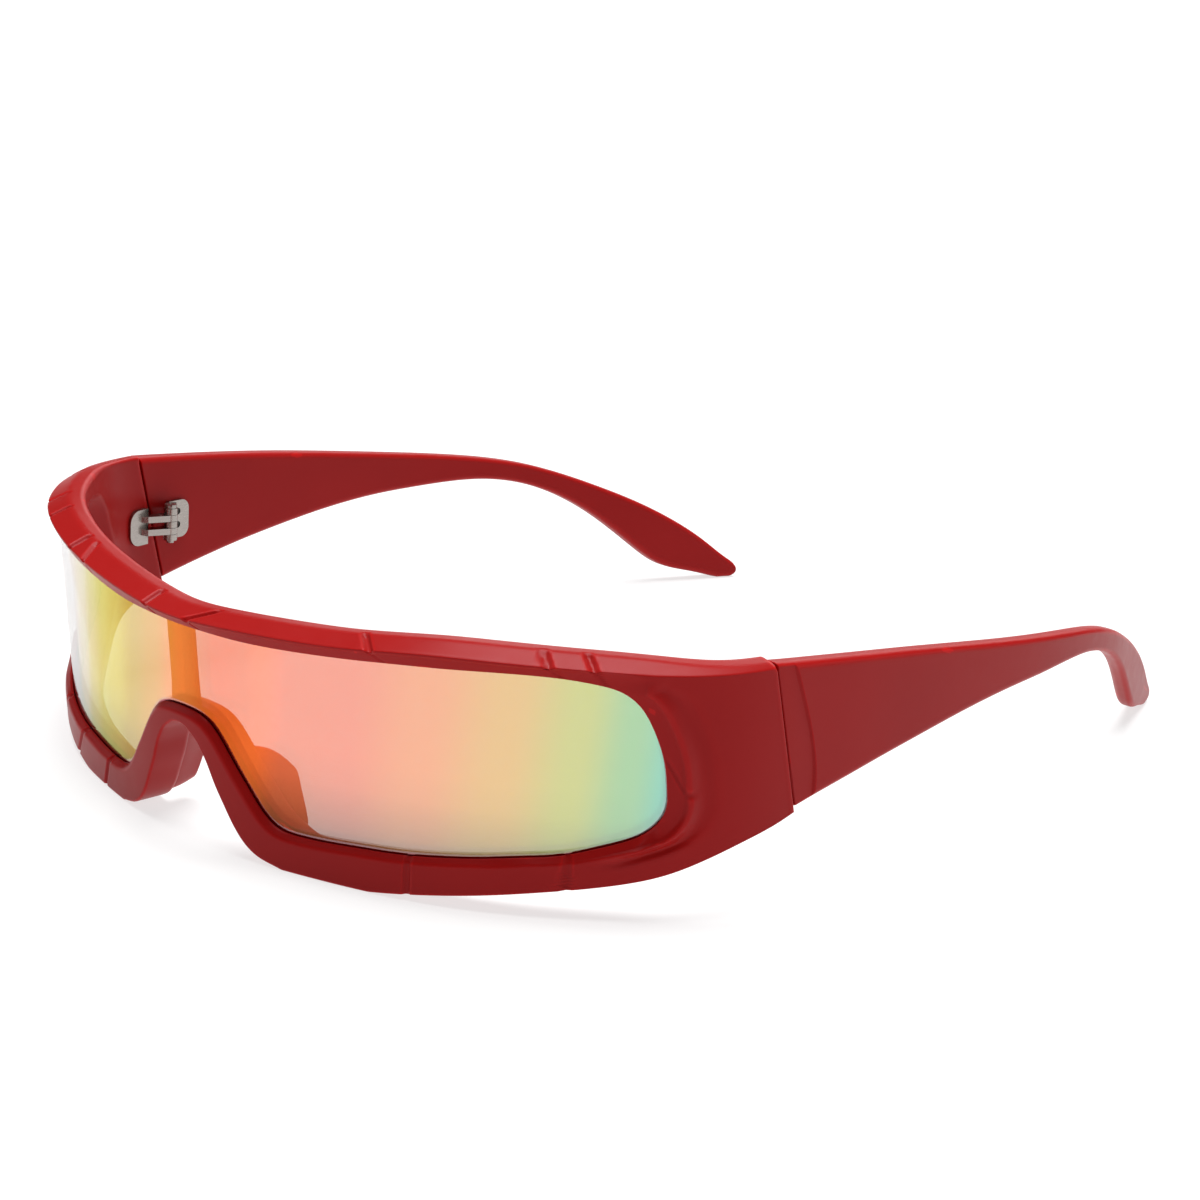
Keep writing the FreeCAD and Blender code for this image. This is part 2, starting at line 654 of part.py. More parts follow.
def hinge_body(name, side, levels, arm, plate):
    """Leaf with round-ended plate, arms and barrels; the axis is at the local origin."""
    b = new_body(name)
    for k in levels:
        sk = new_sketch(b, "XY_Plane", level(k))
        circle(sk, 0, 0, val("barrel_r"))
        pad(b, sk, 1.0, "Sizes.barrel_h")
        sk = new_sketch(b, "XY_Plane", level(k))
        add_loop(sk, [(side * a, c) for a, c in arm])
        pad(b, sk, 1.0, "Sizes.barrel_h")
    x0, ya, yb, za, zb, r = plate
    sk = new_sketch(b, "YZ_Plane", side * x0 if side > 0 else -x0 - val("plate_t"))
    if abs(yb) > abs(ya):
        y_in, y_out = ya, yb
    else:
        y_in, y_out = yb, ya
    d = 1 if y_out > y_in else -1
    c = math.sqrt(0.5) * r
    add_path(sk, [(y_out - d * r, za), (y_in, za), (y_in, zb), (y_out - d * r, zb)])
    for sgn, zc in ((1, zb - r), (-1, za + r)):
        p0 = V(y_out - d * r, zc + sgn * r, 0)
        p1 = V(y_out - d * r + d * c, zc + sgn * c, 0)
        p2 = V(y_out, zc, 0)
        sk.addGeometry(Part.Arc(p0, p1, p2), False)
    add_line(sk, (y_out, zb - r), (y_out, za + r))
    pad(b, sk, 1.0, "Sizes.plate_t")
    sk = new_sketch(b, "XY_Plane", val("hinge_z") - 5)
    circle(sk, 0, 0, val("screw_r") + val("screw_clear"))
    f = b.newObject("PartDesign::Pocket", name + "_bore")
    f.Profile = sk
    f.Type = "Length"
    f.Length = 20.0
    f.Reversed = True
    f.setExpression("Length", "5 + 8 * Sizes.barrel_h")
    doc.recompute()
    return b


nodes = {}
front_tools = []
for side, tag in ((1, "left"), (-1, "right")):
    axis = V(side * val("hinge_x"), val("hinge_y"), 0) + SHIFT
    fz, fh = val("front_plate_z"), val("front_plate_h")
    leaf = hinge_body("front_hinge_" + tag, side, (1, 3),
                      [(2.3, -4.6), (1.0, -4.0), (-1.08, -0.2), (1.08, 0.2), (2.3, -3.1)],
                      (2.05, -6.9, -2.9, fz, fz + fh, 2.0))
    leaf.Placement = FreeCAD.Placement(axis, FreeCAD.Rotation(V(0, 0, 1), -9.0 * side))
    tz, thh = val("temple_plate_z"), val("temple_plate_h")
    leaf2 = hinge_body("temple_leaf_" + tag, side, (0, 2, 4),
                       [(2.4, 3.4), (2.4, 1.9), (1.08, -0.15), (-1.08, 0.15)],
                       (2.15, 1.6, 5.9, tz, tz + thh, 1.6))
    leaf2.Placement = FreeCAD.Placement(axis, FreeCAD.Rotation(V(0, 0, 1), -4.0 * side))
    doc.recompute()
    front_tools.append(leaf)
    rot = FreeCAD.Rotation(V(0, 0, 1), -4.0 * side)
    pins, holes = [], []
    for k, z in enumerate((val("hinge_z") + 1.45, val("hinge_z") + 3.65)):
        for members, x0, length in ((pins, 2.15 + val("rivet_dimple"), val("rivet_len")), (holes, 1.9, val("rivet_len") + 0.25 + val("rivet_dimple"))):
            c = doc.addObject("Part::Cylinder", "rivet_%s_%d" % (tag, k))
            c.setExpression("Radius", "Sizes.rivet_r")
            c.Height = length
            local = V(side * x0, 3.55, z)
            c.Placement = FreeCAD.Placement(axis + rot.multVec(local), rot.multiply(FreeCAD.Rotation(V(0, 1, 0), 90 * side)))
            members.append(c)
    doc.recompute()
    rv = doc.addObject("Part::Compound", "temple_rivets_" + tag)
    rv.Links = pins
    doc.recompute()
    leaf2c = cut("temple_hinge_drilled_" + tag, leaf2, [group("rivet_holes_" + tag, holes)])
    blank = temple_blank("temple_blank_" + tag, side)
    arm = cut("temple_arm_" + tag, blank, [step_tool("temple_step_" + tag, side), leaf2, rv])
    sh = doc.addObject("Part::Cylinder", "screw_shaft_" + tag)
    sh.setExpression("Radius", "Sizes.screw_r")
    sh.setExpression("Height", "5 * Sizes.barrel_h + 4 * Sizes.barrel_gap + Sizes.screw_end + 0.2")
    sh.Placement = FreeCAD.Placement(axis + V(0, 0, val("hinge_z") - val("screw_end")), FreeCAD.Rotation())
    hd = doc.addObject("Part::Cylinder", "screw_head_" + tag)
    hd.setExpression("Radius", "Sizes.screw_head_r")
    hd.setExpression("Height", "Sizes.screw_head_h")
    head_z = level(4) + val("barrel_h")
    hd.Placement = FreeCAD.Placement(axis + V(0, 0, head_z), FreeCAD.Rotation())
    fu = doc.addObject("Part::Fuse", "screw_blank_" + tag)
    fu.Base = sh
    fu.Tool = hd
    sl = doc.addObject("Part::Box", "screw_slot_" + tag)
    sl.Length = 4.0
    sl.setExpression("Width", "Sizes.slot_w")
    sl.setExpression("Height", "2 * Sizes.slot_d")
    turn = FreeCAD.Rotation(V(0, 0, 1), 35.0 * side)
    sl.Placement = FreeCAD.Placement(axis + turn.multVec(V(-2.0, -val("slot_w") / 2, 0)) + V(0, 0, head_z + val("screw_head_h") - val("slot_d")), turn)
    screw = cut("hinge_screw_" + tag, fu, [sl])
    nodes["front_hinge_" + tag] = leaf
    nodes["temple_hinge_" + tag] = leaf2c
    nodes["temple_rivets_" + tag] = rv
    nodes["temple_" + tag] = arm
    nodes["hinge_screw_" + tag] = screw

frame = cut("front_moulding", fb, [facet, bevel, slot, group("groove_tools", grooves)] + front_tools)
nodes["frame_front"] = frame
nodes["shield_lens"] = shield

# ---------------------------------------------------------------- labels, placement, checks, files
doc.recompute()
for o in doc.Objects:
    bad = [x for x in o.State if x in ("Invalid", "Error")]
    if bad:
        raise RuntimeError("%s: %s" % (o.Name, bad))

os.makedirs("parts", exist_ok=True)
for label, o in nodes.items():
    s = o.Shape
    if s.isNull() or not s.isValid():
        raise RuntimeError("bad shape: " + label)
    o.Label = label
    s.exportStep("parts/%s.step" % label)
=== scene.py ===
import math

import bpy
import bmesh
import numpy as np
from mathutils import Matrix


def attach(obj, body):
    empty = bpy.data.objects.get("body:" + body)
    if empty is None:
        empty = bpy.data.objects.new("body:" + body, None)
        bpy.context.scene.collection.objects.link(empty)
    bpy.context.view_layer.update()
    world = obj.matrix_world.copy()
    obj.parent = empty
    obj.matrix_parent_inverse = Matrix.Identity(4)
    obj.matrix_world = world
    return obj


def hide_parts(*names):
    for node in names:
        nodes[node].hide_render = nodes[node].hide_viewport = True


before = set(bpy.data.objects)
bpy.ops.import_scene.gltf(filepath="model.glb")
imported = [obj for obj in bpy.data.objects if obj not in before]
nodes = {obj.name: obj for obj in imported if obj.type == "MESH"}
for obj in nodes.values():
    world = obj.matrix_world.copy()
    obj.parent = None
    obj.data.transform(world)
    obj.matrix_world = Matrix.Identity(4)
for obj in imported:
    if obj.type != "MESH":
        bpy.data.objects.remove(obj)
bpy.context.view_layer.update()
scene = bpy.context.scene

MM = 0.001
MID = 80.186827903          # depth of the middle of the object behind the front's inner centre
TILT = math.tan(math.radians(6.685))
TILT_Z = 41.94

# ------------------------------------------------------------------ tables of the shape, in mm
FRONT = [
    (0.00, 0.00, 5.86), (6.72, 0.41, 5.85), (13.36, 1.53, 5.83), (19.90, 3.11, 5.79),
    (26.36, 5.02, 5.73), (32.66, 7.39, 5.66), (38.68, 10.40, 5.57), (44.32, 14.07, 5.46),
    (49.50, 18.36, 5.35), (54.37, 23.01, 5.15), (59.03, 27.87, 4.60), (62.70, 33.40, 3.70),
    (64.36, 39.93, 3.38), (65.04, 47.51, 3.30), (65.25, 51.0, 3.30),
]
TOP = [(0.0, 33.67), (6.7, 34.0), (13.4, 34.43), (19.9, 34.84), (26.4, 35.34), (32.7, 36.04), (38.7, 36.56),
       (44.3, 36.64), (49.5, 36.5), (54.4, 36.27), (59.0, 35.9), (62.8, 35.33), (66.0, 34.83), (71.0, 34.52)]
LOW = [(5.2, 0.0), (7.6, 0.9), (12.2, 2.35), (16.8, 3.62), (22.0, 4.85), (27.7, 6.6),
       (31.9, 8.45), (37.0, 10.55), (43.6, 12.6), (46.6, 13.65), (52.0, 15.4)]
LENS = [(0.0, 31.23), (5.25, 31.27), (12.1, 31.31), (18.46, 31.59), (24.43, 32.0), (30.06, 32.45), (35.27, 32.87),
        (40.07, 33.14), (44.5, 33.38), (48.58, 33.48), (52.38, 33.31), (55.94, 32.64), (57.66, 31.93), (59.28, 30.08),
        (60.23, 27.52), (60.85, 24.78), (61.23, 22.02), (61.36, 18.55), (61.18, 15.47), (60.35, 13.49), (59.1, 12.05),
        (55.62, 10.19), (51.92, 8.78), (47.98, 8.07), (43.71, 7.33), (39.08, 6.68), (34.06, 6.11), (28.61, 5.76),
        (22.76, 5.37), (19.4, 5.28), (16.8, 5.5), (15.3, 6.11), (14.2, 6.97), (12.7, 8.73), (11.2, 10.79), (10.3, 12.0),
        (9.0, 13.81), (7.95, 15.32), (6.5, 17.12), (4.9, 18.43), (3.2, 19.04), (1.5, 19.24), (0.0, 19.29)]
NOSE = [(0.0, 17.05), (1.3, 16.84), (2.3, 16.19), (3.4, 15.33), (4.3, 14.12), (5.2, 12.62), (6.0, 10.81), (6.8, 9.1),
        (7.8, 7.3), (8.8, 5.49), (9.9, 3.78), (11.7, 1.87), (13.8, 0.76), (16.5, 0.15), (18.5, -0.5)]
TEMPLE = [
    (63.70, 36.50, 3.42), (64.36, 39.93, 3.38), (65.04, 47.51, 3.29), (65.46, 55.12, 3.22),
    (65.71, 62.73, 3.15), (65.81, 70.34, 3.09), (65.77, 77.96, 3.04), (65.59, 85.57, 3.00),
    (65.24, 93.18, 2.96), (64.64, 100.77, 2.92), (63.66, 108.32, 2.90), (62.26, 115.81, 2.88),
    (60.45, 123.20, 2.86), (58.16, 130.46, 2.86), (55.44, 137.57, 2.88), (52.50, 144.60, 2.95),
    (49.55, 151.62, 3.05), (46.60, 158.65, 3.05), (43.40, 166.30, 3.05),
]
TTOP = [(36.79, 35.04), (40.72, 34.66), (48.28, 33.92), (55.88, 33.15), (63.48, 32.34), (71.07, 31.46), (78.67, 30.49),
        (86.26, 29.48), (93.85, 28.47), (101.42, 27.48), (108.95, 26.45), (116.42, 25.28), (123.78, 23.71), (130.99, 21.49),
        (138.04, 18.77), (145.0, 15.71), (151.94, 12.0), (158.86, 7.28), (163.34, 3.7)]
TLOW = [(161.8, 0.0), (160.2, 0.42), (156.5, 1.45), (152.9, 2.35), (150.9, 3.1), (148.5, 4.6), (146.0, 6.6), (138.1, 12.95),
        (130.9, 17.3), (123.7, 20.05), (116.3, 21.45), (108.8, 21.75), (101.3, 21.6), (93.7, 21.36), (86.1, 20.8),
        (78.4, 19.9), (70.8, 18.77), (63.1, 17.5), (55.5, 16.05), (47.8, 14.45), (42.3, 13.2)]
# grooves across the rim: arc length from the centre, and how far they run outwards on the way down the facet
GROOVES_TOP = [(4.6, -3.0), (29.8, 2.0), (52.0, 0.8), (57.5, 0.8),
               (-5.2, -0.6), (-24.4, -3.0), (-28.4, -0.6), (-41.0, -0.5), (-48.8, -0.5), (-66.0, 0.0)]
GROOVES_LOW = [(34.2, 0.4), (53.8, 0.5), (-20.8, -2.5), (-32.0, -4.0), (-43.5, -4.0)]


# ------------------------------------------------------------------ curves
class Cubic:
    """Cubic spline through rows of values, natural at the ends or closed."""

    def __init__(self, u, v, closed=False):
        u = np.asarray(u, float)
        v = np.asarray(v, float)
        if v.ndim == 1:
            v = v[:, None]
        n = len(u)
        h = np.diff(u)
        a = np.zeros((n, n))
        r = np.zeros((n, v.shape[1]))
        for i in range(1, n - 1):
            a[i, i - 1], a[i, i], a[i, i + 1] = h[i - 1], 2 * (h[i - 1] + h[i]), h[i]
            r[i] = 6 * ((v[i + 1] - v[i]) / h[i] - (v[i] - v[i - 1]) / h[i - 1])
        if closed:
            a[0, 0], a[0, 1], a[0, n - 2] = 2 * (h[0] + h[-1]), h[0], h[-1]
            r[0] = 6 * ((v[1] - v[0]) / h[0] - (v[0] - v[n - 2]) / h[-1])
            a[n - 1, n - 1], a[n - 1, 0] = 1, -1
        else:
            a[0, 0] = a[n - 1, n - 1] = 1
        self.u, self.v, self.m = u, v, np.linalg.solve(a, r)

    def __call__(self, x):
        x = np.asarray(x, float)
        i = np.clip(np.searchsorted(self.u, x, side="right") - 1, 0, len(self.u) - 2)
        h = (self.u[i + 1] - self.u[i])[..., None]
        p = (x - self.u[i])[..., None] / h
        q = 1 - p
        out = q * self.v[i] + p * self.v[i + 1] + h * h / 6 * ((q ** 3 - q) * self.m[i] + (p ** 3 - p) * self.m[i + 1])
        return out[..., 0] if out.shape[-1] == 1 else out


def chords(p):
    p = np.asarray(p, float)
    return np.concatenate([[0], np.cumsum(np.linalg.norm(np.diff(p, axis=0), axis=1))])


def smooth(a, lo, hi):
    q = np.clip((np.asarray(a, float) - lo) / (hi - lo), 0, 1)
    return q * q * (3 - 2 * q)


# plan of the front's inner wall, by arc length from the centre
_half = [(x, y) for x, y, t in FRONT]
_pts = [(-x, y) for x, y in reversed(_half[1:])] + _half
_c = Cubic(chords(_pts), _pts)
_u = np.linspace(0, _c.u[-1], 8001)
_p = _c(_u)
_s = chords(_p)
_s -= _s[-1] / 2
_d = np.gradient(_p, _s, axis=0)
_d /= np.linalg.norm(_d, axis=1)[:, None]
_th = Cubic([np.interp(x, _p[:, 0], _s) for x, y, t in FRONT], [t for x, y, t in FRONT])
S_TAB, X_TAB, Y_TAB, NX_TAB, NY_TAB = _s, _p[:, 0], _p[:, 1], _d[:, 1], -_d[:, 0]


def wall_t(s):
    return _th(np.minimum(np.abs(s), 88.0))


def plan(s, off):
    s = np.asarray(s, float)
    x = np.interp(s, S_TAB, X_TAB) + off * np.interp(s, S_TAB, NX_TAB)
    y = np.interp(s, S_TAB, Y_TAB) + off * np.interp(s, S_TAB, NY_TAB)
    return x, y


def place(s, z, off):
    """Points in the row frame, mm."""
    x, y = plan(s, off)
    return np.stack([x, y + (TILT_Z - z) * TILT - MID, np.broadcast_to(z, x.shape)], axis=-1)


def s_of_x(x, off, share=0.0):
    """Arc length where the wall, at off plus a share of its thickness, reaches x."""
    x = np.asarray(x, float)
    lo, hi = np.full(x.shape, -86.0), np.full(x.shape, 86.0)
    for _ in range(46):
        m = (lo + hi) / 2
        less = plan(m, off + share * wall_t(m))[0] < x
        lo, hi = np.where(less, m, lo), np.where(less, hi, m)
    return (lo + hi) / 2


def s_of_y(y, z, off):
    """Arc length on the left half where the wall reaches depth y at height z."""
    y = np.asarray(y, float)
    lo, hi = np.full(y.shape, 40.0), np.full(y.shape, 92.0)
    for _ in range(46):
        m = (lo + hi) / 2
        less = plan(m, off)[1] + (TILT_Z - z) * TILT < y
        lo, hi = np.where(less, m, lo), np.where(less, hi, m)
    return (lo + hi) / 2


_tp = Cubic([-x for x, z in reversed(TOP[1:])] + [x for x, z in TOP], [z for x, z in reversed(TOP[1:])] + [z for x, z in TOP])
_lw = Cubic([y for y, z in LOW], [z for y, z in LOW])


def low_z(y):
    y = np.asarray(y, float)
    return np.where(y < LOW[0][0], 0.0, np.maximum(_lw(np.maximum(y, LOW[0][0])), 0.0))


def top_z(s, off):
    return _tp(np.clip(plan(s, off)[0], -70, 70))


def bottom_z(s, off):
    z = np.full(np.shape(s), 5.0)
    for _ in range(8):
        z = low_z(plan(s, off)[1] + (TILT_Z - z) * TILT)
    return z


def seam_y(z):
    return 40.29 + (34.66 - z) * 0.265


# ------------------------------------------------------------------ mesh helpers
def new_object(name, verts, faces, material, smooth_shade=True):
    me = bpy.data.meshes.new(name)
    me.from_pydata([tuple(v) for v in np.asarray(verts) * MM], [], [tuple(int(i) for i in f) for f in faces])
    me.update()
    bm = bmesh.new()
    bm.from_mesh(me)
    bmesh.ops.recalc_face_normals(bm, faces=bm.faces)
    bm.to_mesh(me)
    bm.free()
    if smooth_shade:
        me.polygons.foreach_set("use_smooth", [True] * len(me.polygons))
    me.materials.append(material)
    ob = bpy.data.objects.new(name, me)
    scene.collection.objects.link(ob)
    return ob


# ------------------------------------------------------------------ materials
def nodes_of(mat):
    mat.use_nodes = True
    nt = mat.node_tree
    nt.nodes.clear()
    out = nt.nodes.new("ShaderNodeOutputMaterial")
    bs = nt.nodes.new("ShaderNodeBsdfPrincipled")
    nt.links.new(bs.outputs[0], out.inputs[0])
    return nt, bs


def coords(nt, scale=(1, 1, 1)):
    tc = nt.nodes.new("ShaderNodeTexCoord")
    mp = nt.nodes.new("ShaderNodeMapping")
    mp.inputs["Scale"].default_value = scale
    nt.links.new(tc.outputs["Object"], mp.inputs["Vector"])
    return mp.outputs["Vector"]


def noise(nt, vec, scale, detail=2.0, rough=0.5):
    n = nt.nodes.new("ShaderNodeTexNoise")
    n.inputs["Scale"].default_value = scale
    n.inputs["Detail"].default_value = detail
    n.inputs["Roughness"].default_value = rough
    nt.links.new(vec, n.inputs["Vector"])
    return n.outputs["Fac"]


def ramp(nt, fac, stops, mode="LINEAR"):
    r = nt.nodes.new("ShaderNodeValToRGB")
    r.color_ramp.interpolation = mode
    el = r.color_ramp.elements
    el[0].position, el[0].color = stops[0][0], (*stops[0][1], 1)
    el[1].position, el[1].color = stops[-1][0], (*stops[-1][1], 1)
    for pos, col in stops[1:-1]:
        e = el.new(pos)
        e.color = (*col, 1)
    nt.links.new(fac, r.inputs["Fac"])
    return r.outputs["Color"]


def red_plastic():
    """Satin moulded nylon: slow colour variation, a fine spark texture and a soft gloss, with a painted highlight that
    makes convex edges and crests a brighter red.
    """
    mat = bpy.data.materials.new("red_plastic")
    nt, bs = nodes_of(mat)
    v = coords(nt)
    slow = noise(nt, v, 55.0, 3.0)
    body = ramp(nt, slow, [(0.3, (0.288, 0.0060, 0.0053)), (0.7, (0.312, 0.0069, 0.0062))])
    # painted highlight: where the surface is convex (pointiness), along edges and the crest, the red is painted
    # brighter
    geo = nt.nodes.new("ShaderNodeNewGeometry")
    painted_edge_highlight = nt.nodes.new("ShaderNodeMix")
    painted_edge_highlight.data_type = "RGBA"
    nt.links.new(ramp(nt, geo.outputs["Pointiness"], [(0.506, (0, 0, 0)), (0.56, (0.55, 0.55, 0.55))]), painted_edge_highlight.inputs["Factor"])
    nt.links.new(body, painted_edge_highlight.inputs["A"])
    painted_edge_highlight.inputs["B"].default_value = (0.56, 0.0085, 0.0075, 1)
    nt.links.new(painted_edge_highlight.outputs["Result"], bs.inputs["Base Color"])
    fine = noise(nt, v, 2600.0, 3.0, 0.6)
    rr = ramp(nt, noise(nt, v, 420.0, 3.0), [(0.25, (0.32, 0.32, 0.32)), (0.75, (0.38, 0.38, 0.38))])
    nt.links.new(rr, bs.inputs["Roughness"])
    bump = nt.nodes.new("ShaderNodeBump")
    bump.inputs["Strength"].default_value = 0.10
    bump.inputs["Distance"].default_value = 0.00004
    nt.links.new(fine, bump.inputs["Height"])
    nt.links.new(bump.outputs["Normal"], bs.inputs["Normal"])
    bs.inputs["IOR"].default_value = 1.5
    bs.inputs["Specular IOR Level"].default_value = 0.11
    bs.inputs["Specular Tint"].default_value = (1.0, 0.88, 0.95, 1)
    return mat


def mirror_lens():
    """Mirror coat on a clear shield: the coat's colour runs from orange at the nose to cyan at the ends, with painted
    reflection, see-through and shade laid over it.
    """
    mat = bpy.data.materials.new("mirror_lens")
    nt, bs = nodes_of(mat)
    uv = nt.nodes.new("ShaderNodeUVMap")
    uv.uv_map = "arc"
    sep = nt.nodes.new("ShaderNodeSeparateXYZ")
    nt.links.new(uv.outputs["UV"], sep.inputs["Vector"])
    # a little waviness in the coat, and bands that lean slightly
    v = coords(nt)
    lean = nt.nodes.new("ShaderNodeMath")
    lean.operation = "MULTIPLY_ADD"
    nt.links.new(sep.outputs["Y"], lean.inputs[0])
    lean.inputs[1].default_value = -0.035
    nt.links.new(sep.outputs["X"], lean.inputs[2])
    wob = nt.nodes.new("ShaderNodeMath")
    wob.operation = "MULTIPLY_ADD"
    nt.links.new(noise(nt, v, 28.0, 2.0), wob.inputs[0])
    wob.inputs[1].default_value = 0.012
    nt.links.new(lean.outputs[0], wob.inputs[2])
    stops = []
    # coat colours along the arc; the near-white at the far end of the wearer's right half is painted reflection,
    # standing in for the grazing reflection there
    for s, col in [(-68, (0.86, 0.83, 0.82)), (-37, (0.86, 0.83, 0.82)), (-32, (0.82, 0.80, 0.57)), (-28, (0.74, 0.69, 0.22)), (-24, (0.69, 0.63, 0.075)),
                   (-20, (0.68, 0.56, 0.045)), (-14, (0.59, 0.385, 0.012)), (-9, (0.69, 0.345, 0.012)), (-3, (0.92, 0.245, 0.035)), (4, (1.0, 0.155, 0.014)), (10, (0.97, 0.18, 0.03)),
                   (15, (0.76, 0.170, 0.065)), (24, (0.755, 0.172, 0.070)), (34, (0.75, 0.26, 0.070)), (44, (0.65, 0.375, 0.056)), (53, (0.46, 0.475, 0.070)),
                   (60, (0.22, 0.475, 0.185)), (66, (0.05, 0.475, 0.36))]:
        stops.append((s / 150.0 + 0.5, col))
    bands = ramp(nt, wob.outputs[0], stops, "EASE")
    # painted shade: greyer and darker towards the lower edge, standing in for the shadowed floor seen in the lens
    painted_low_shade = nt.nodes.new("ShaderNodeMix")
    painted_low_shade.data_type = "RGBA"
    painted_low_shade.blend_type = "MULTIPLY"
    nt.links.new(ramp(nt, sep.outputs["X"], [(0.40, (0.5, 0.5, 0.5)), (0.46, (0, 0, 0)), (0.56, (0, 0, 0)), (0.593, (1, 1, 1))]), painted_low_shade.inputs["Factor"])
    nt.links.new(bands, painted_low_shade.inputs["A"])
    nt.links.new(ramp(nt, sep.outputs["Y"], [(0.17, (0.42, 0.50, 0.52)), (0.27, (0.66, 0.72, 0.72)), (0.40, (0.92, 0.94, 0.94)), (0.52, (1, 1, 1))]), painted_low_shade.inputs["B"])
    bands = painted_low_shade.outputs["Result"]
    # painted see-through: beside the nose the upper part is toned down, so the low part, where the red nose pad shows
    # through the lens, stays deepest orange
    painted_pad_see_through = nt.nodes.new("ShaderNodeMix")
    painted_pad_see_through.data_type = "RGBA"
    painted_pad_see_through.blend_type = "MULTIPLY"
    nt.links.new(ramp(nt, sep.outputs["X"], [(0.505, (0, 0, 0)), (0.525, (1, 1, 1)), (0.575, (1, 1, 1)), (0.60, (0, 0, 0))]), painted_pad_see_through.inputs["Factor"])
    nt.links.new(bands, painted_pad_see_through.inputs["A"])
    nt.links.new(ramp(nt, sep.outputs["Y"], [(0.46, (1, 1, 1)), (0.62, (0.80, 0.88, 1.0))]), painted_pad_see_through.inputs["B"])
    bands = painted_pad_see_through.outputs["Result"]
    # painted ghost: a paler yellowish field beside the nose on the wearer's right, with a soft curved border, standing
    # in for an edge of the frame seen in the lens
    painted_ghost_edge = nt.nodes.new("ShaderNodeMath")
    painted_ghost_edge.operation = "MULTIPLY_ADD"
    nt.links.new(sep.outputs["Y"], painted_ghost_edge.inputs[0])
    painted_ghost_edge.inputs[1].default_value = 0.16
    nt.links.new(sep.outputs["X"], painted_ghost_edge.inputs[2])
    share = ramp(nt, painted_ghost_edge.outputs[0], [(0.405, (0, 0, 0)), (0.425, (0.20, 0.20, 0.20)), (0.50, (0.0, 0.0, 0.0))], "EASE")
    mix = nt.nodes.new("ShaderNodeMix")
    mix.data_type = "RGBA"
    nt.links.new(share, mix.inputs["Factor"])
    nt.links.new(bands, mix.inputs["A"])
    mix.inputs["B"].default_value = (0.66, 0.45, 0.11, 1)
    # painted shade: a dark line where the lens dips behind the rim, and beside it a pale line of painted highlight on
    # the lens's edge, only along the lower side; the lens is made more opaque under the line
    uv2 = nt.nodes.new("ShaderNodeUVMap")
    uv2.uv_map = "rim"
    sep2 = nt.nodes.new("ShaderNodeSeparateXYZ")
    nt.links.new(uv2.outputs["UV"], sep2.inputs["Vector"])
    line = ramp(nt, sep2.outputs["X"], [(0.20, (1, 1, 1)), (0.220, (1, 1, 1)), (0.227, (0.50, 0.50, 0.50)), (0.247, (0.40, 0.40, 0.40)), (0.256, (0, 0, 0))])
    painted_gap_shade_and_edge_highlight = ramp(nt, sep2.outputs["X"], [(0.20, (0.32, 0.055, 0.065)), (0.220, (0.36, 0.11, 0.13)), (0.230, (0.42, 0.33, 0.40)), (0.26, (0.42, 0.33, 0.40))])
    amount = nt.nodes.new("ShaderNodeMath")
    amount.operation = "MULTIPLY"
    nt.links.new(line, amount.inputs[0])
    nt.links.new(sep2.outputs["Y"], amount.inputs[1])
    edge = nt.nodes.new("ShaderNodeMix")
    edge.data_type = "RGBA"
    nt.links.new(amount.outputs[0], edge.inputs["Factor"])
    nt.links.new(mix.outputs["Result"], edge.inputs["A"])
    nt.links.new(painted_gap_shade_and_edge_highlight, edge.inputs["B"])
    nt.links.new(edge.outputs["Result"], bs.inputs["Base Color"])
    cover = nt.nodes.new("ShaderNodeMath")
    cover.operation = "MULTIPLY_ADD"
    nt.links.new(amount.outputs[0], cover.inputs[0])
    cover.inputs[1].default_value = 0.46
    nt.links.new(ramp(nt, sep.outputs["X"], [(0.36, (0.64, 0.64, 0.64)), (0.467, (0.54, 0.54, 0.54))], "EASE"), cover.inputs[2])
    cover.use_clamp = True
    nt.links.new(cover.outputs[0], bs.inputs["Alpha"])
    nt.links.new(ramp(nt, noise(nt, v, 90.0, 2.0), [(0.3, (0.05, 0.05, 0.05)), (0.7, (0.075, 0.075, 0.075))]), bs.inputs["Roughness"])
    bs.inputs["Metallic"].default_value = 1.0
    return mat


def metal(name, dark, light, rough, grain):
    """Brushed, plated metal with fine drawn lines."""
    mat = bpy.data.materials.new(name)
    nt, bs = nodes_of(mat)
    v = coords(nt, grain)
    line = noise(nt, v, 900.0, 3.0)
    nt.links.new(ramp(nt, line, [(0.3, dark), (0.7, light)]), bs.inputs["Base Color"])
    nt.links.new(ramp(nt, line, [(0.3, (rough,) * 3), (0.7, (rough + 0.1,) * 3)]), bs.inputs["Roughness"])
    bs.inputs["Metallic"].default_value = 1.0
    bump = nt.nodes.new("ShaderNodeBump")
    bump.inputs["Strength"].default_value = 0.04
    bump.inputs["Distance"].default_value = 0.00003
    nt.links.new(line, bump.inputs["Height"])
    nt.links.new(bump.outputs["Normal"], bs.inputs["Normal"])
    return mat


RED = red_plastic()
LENS_MAT = mirror_lens()
NICKEL = metal("hinge_metal", (0.30, 0.27, 0.25), (0.36, 0.325, 0.30), 0.18, (1, 1, 6))
SCREW = metal("screw_metal", (0.27, 0.25, 0.235), (0.33, 0.31, 0.29), 0.24, (4, 4, 1))
RIVET = metal("rivet_metal", (0.05, 0.045, 0.042), (0.09, 0.08, 0.075), 0.40, (1, 4, 4))

# ------------------------------------------------------------------ front: a ring of profiles round the lens
_loop = [(x, z) for x, z in LENS] + [(-x, z) for x, z in reversed(LENS[1:-1])]
_lc = chords(_loop + _loop[:1])
OUTLINE = Cubic(_lc, _loop + _loop[:1], closed=True)
IDX_U = _lc[:len(LENS)]                       # arc length at each table row of the left half
HALF = IDX_U[-1]

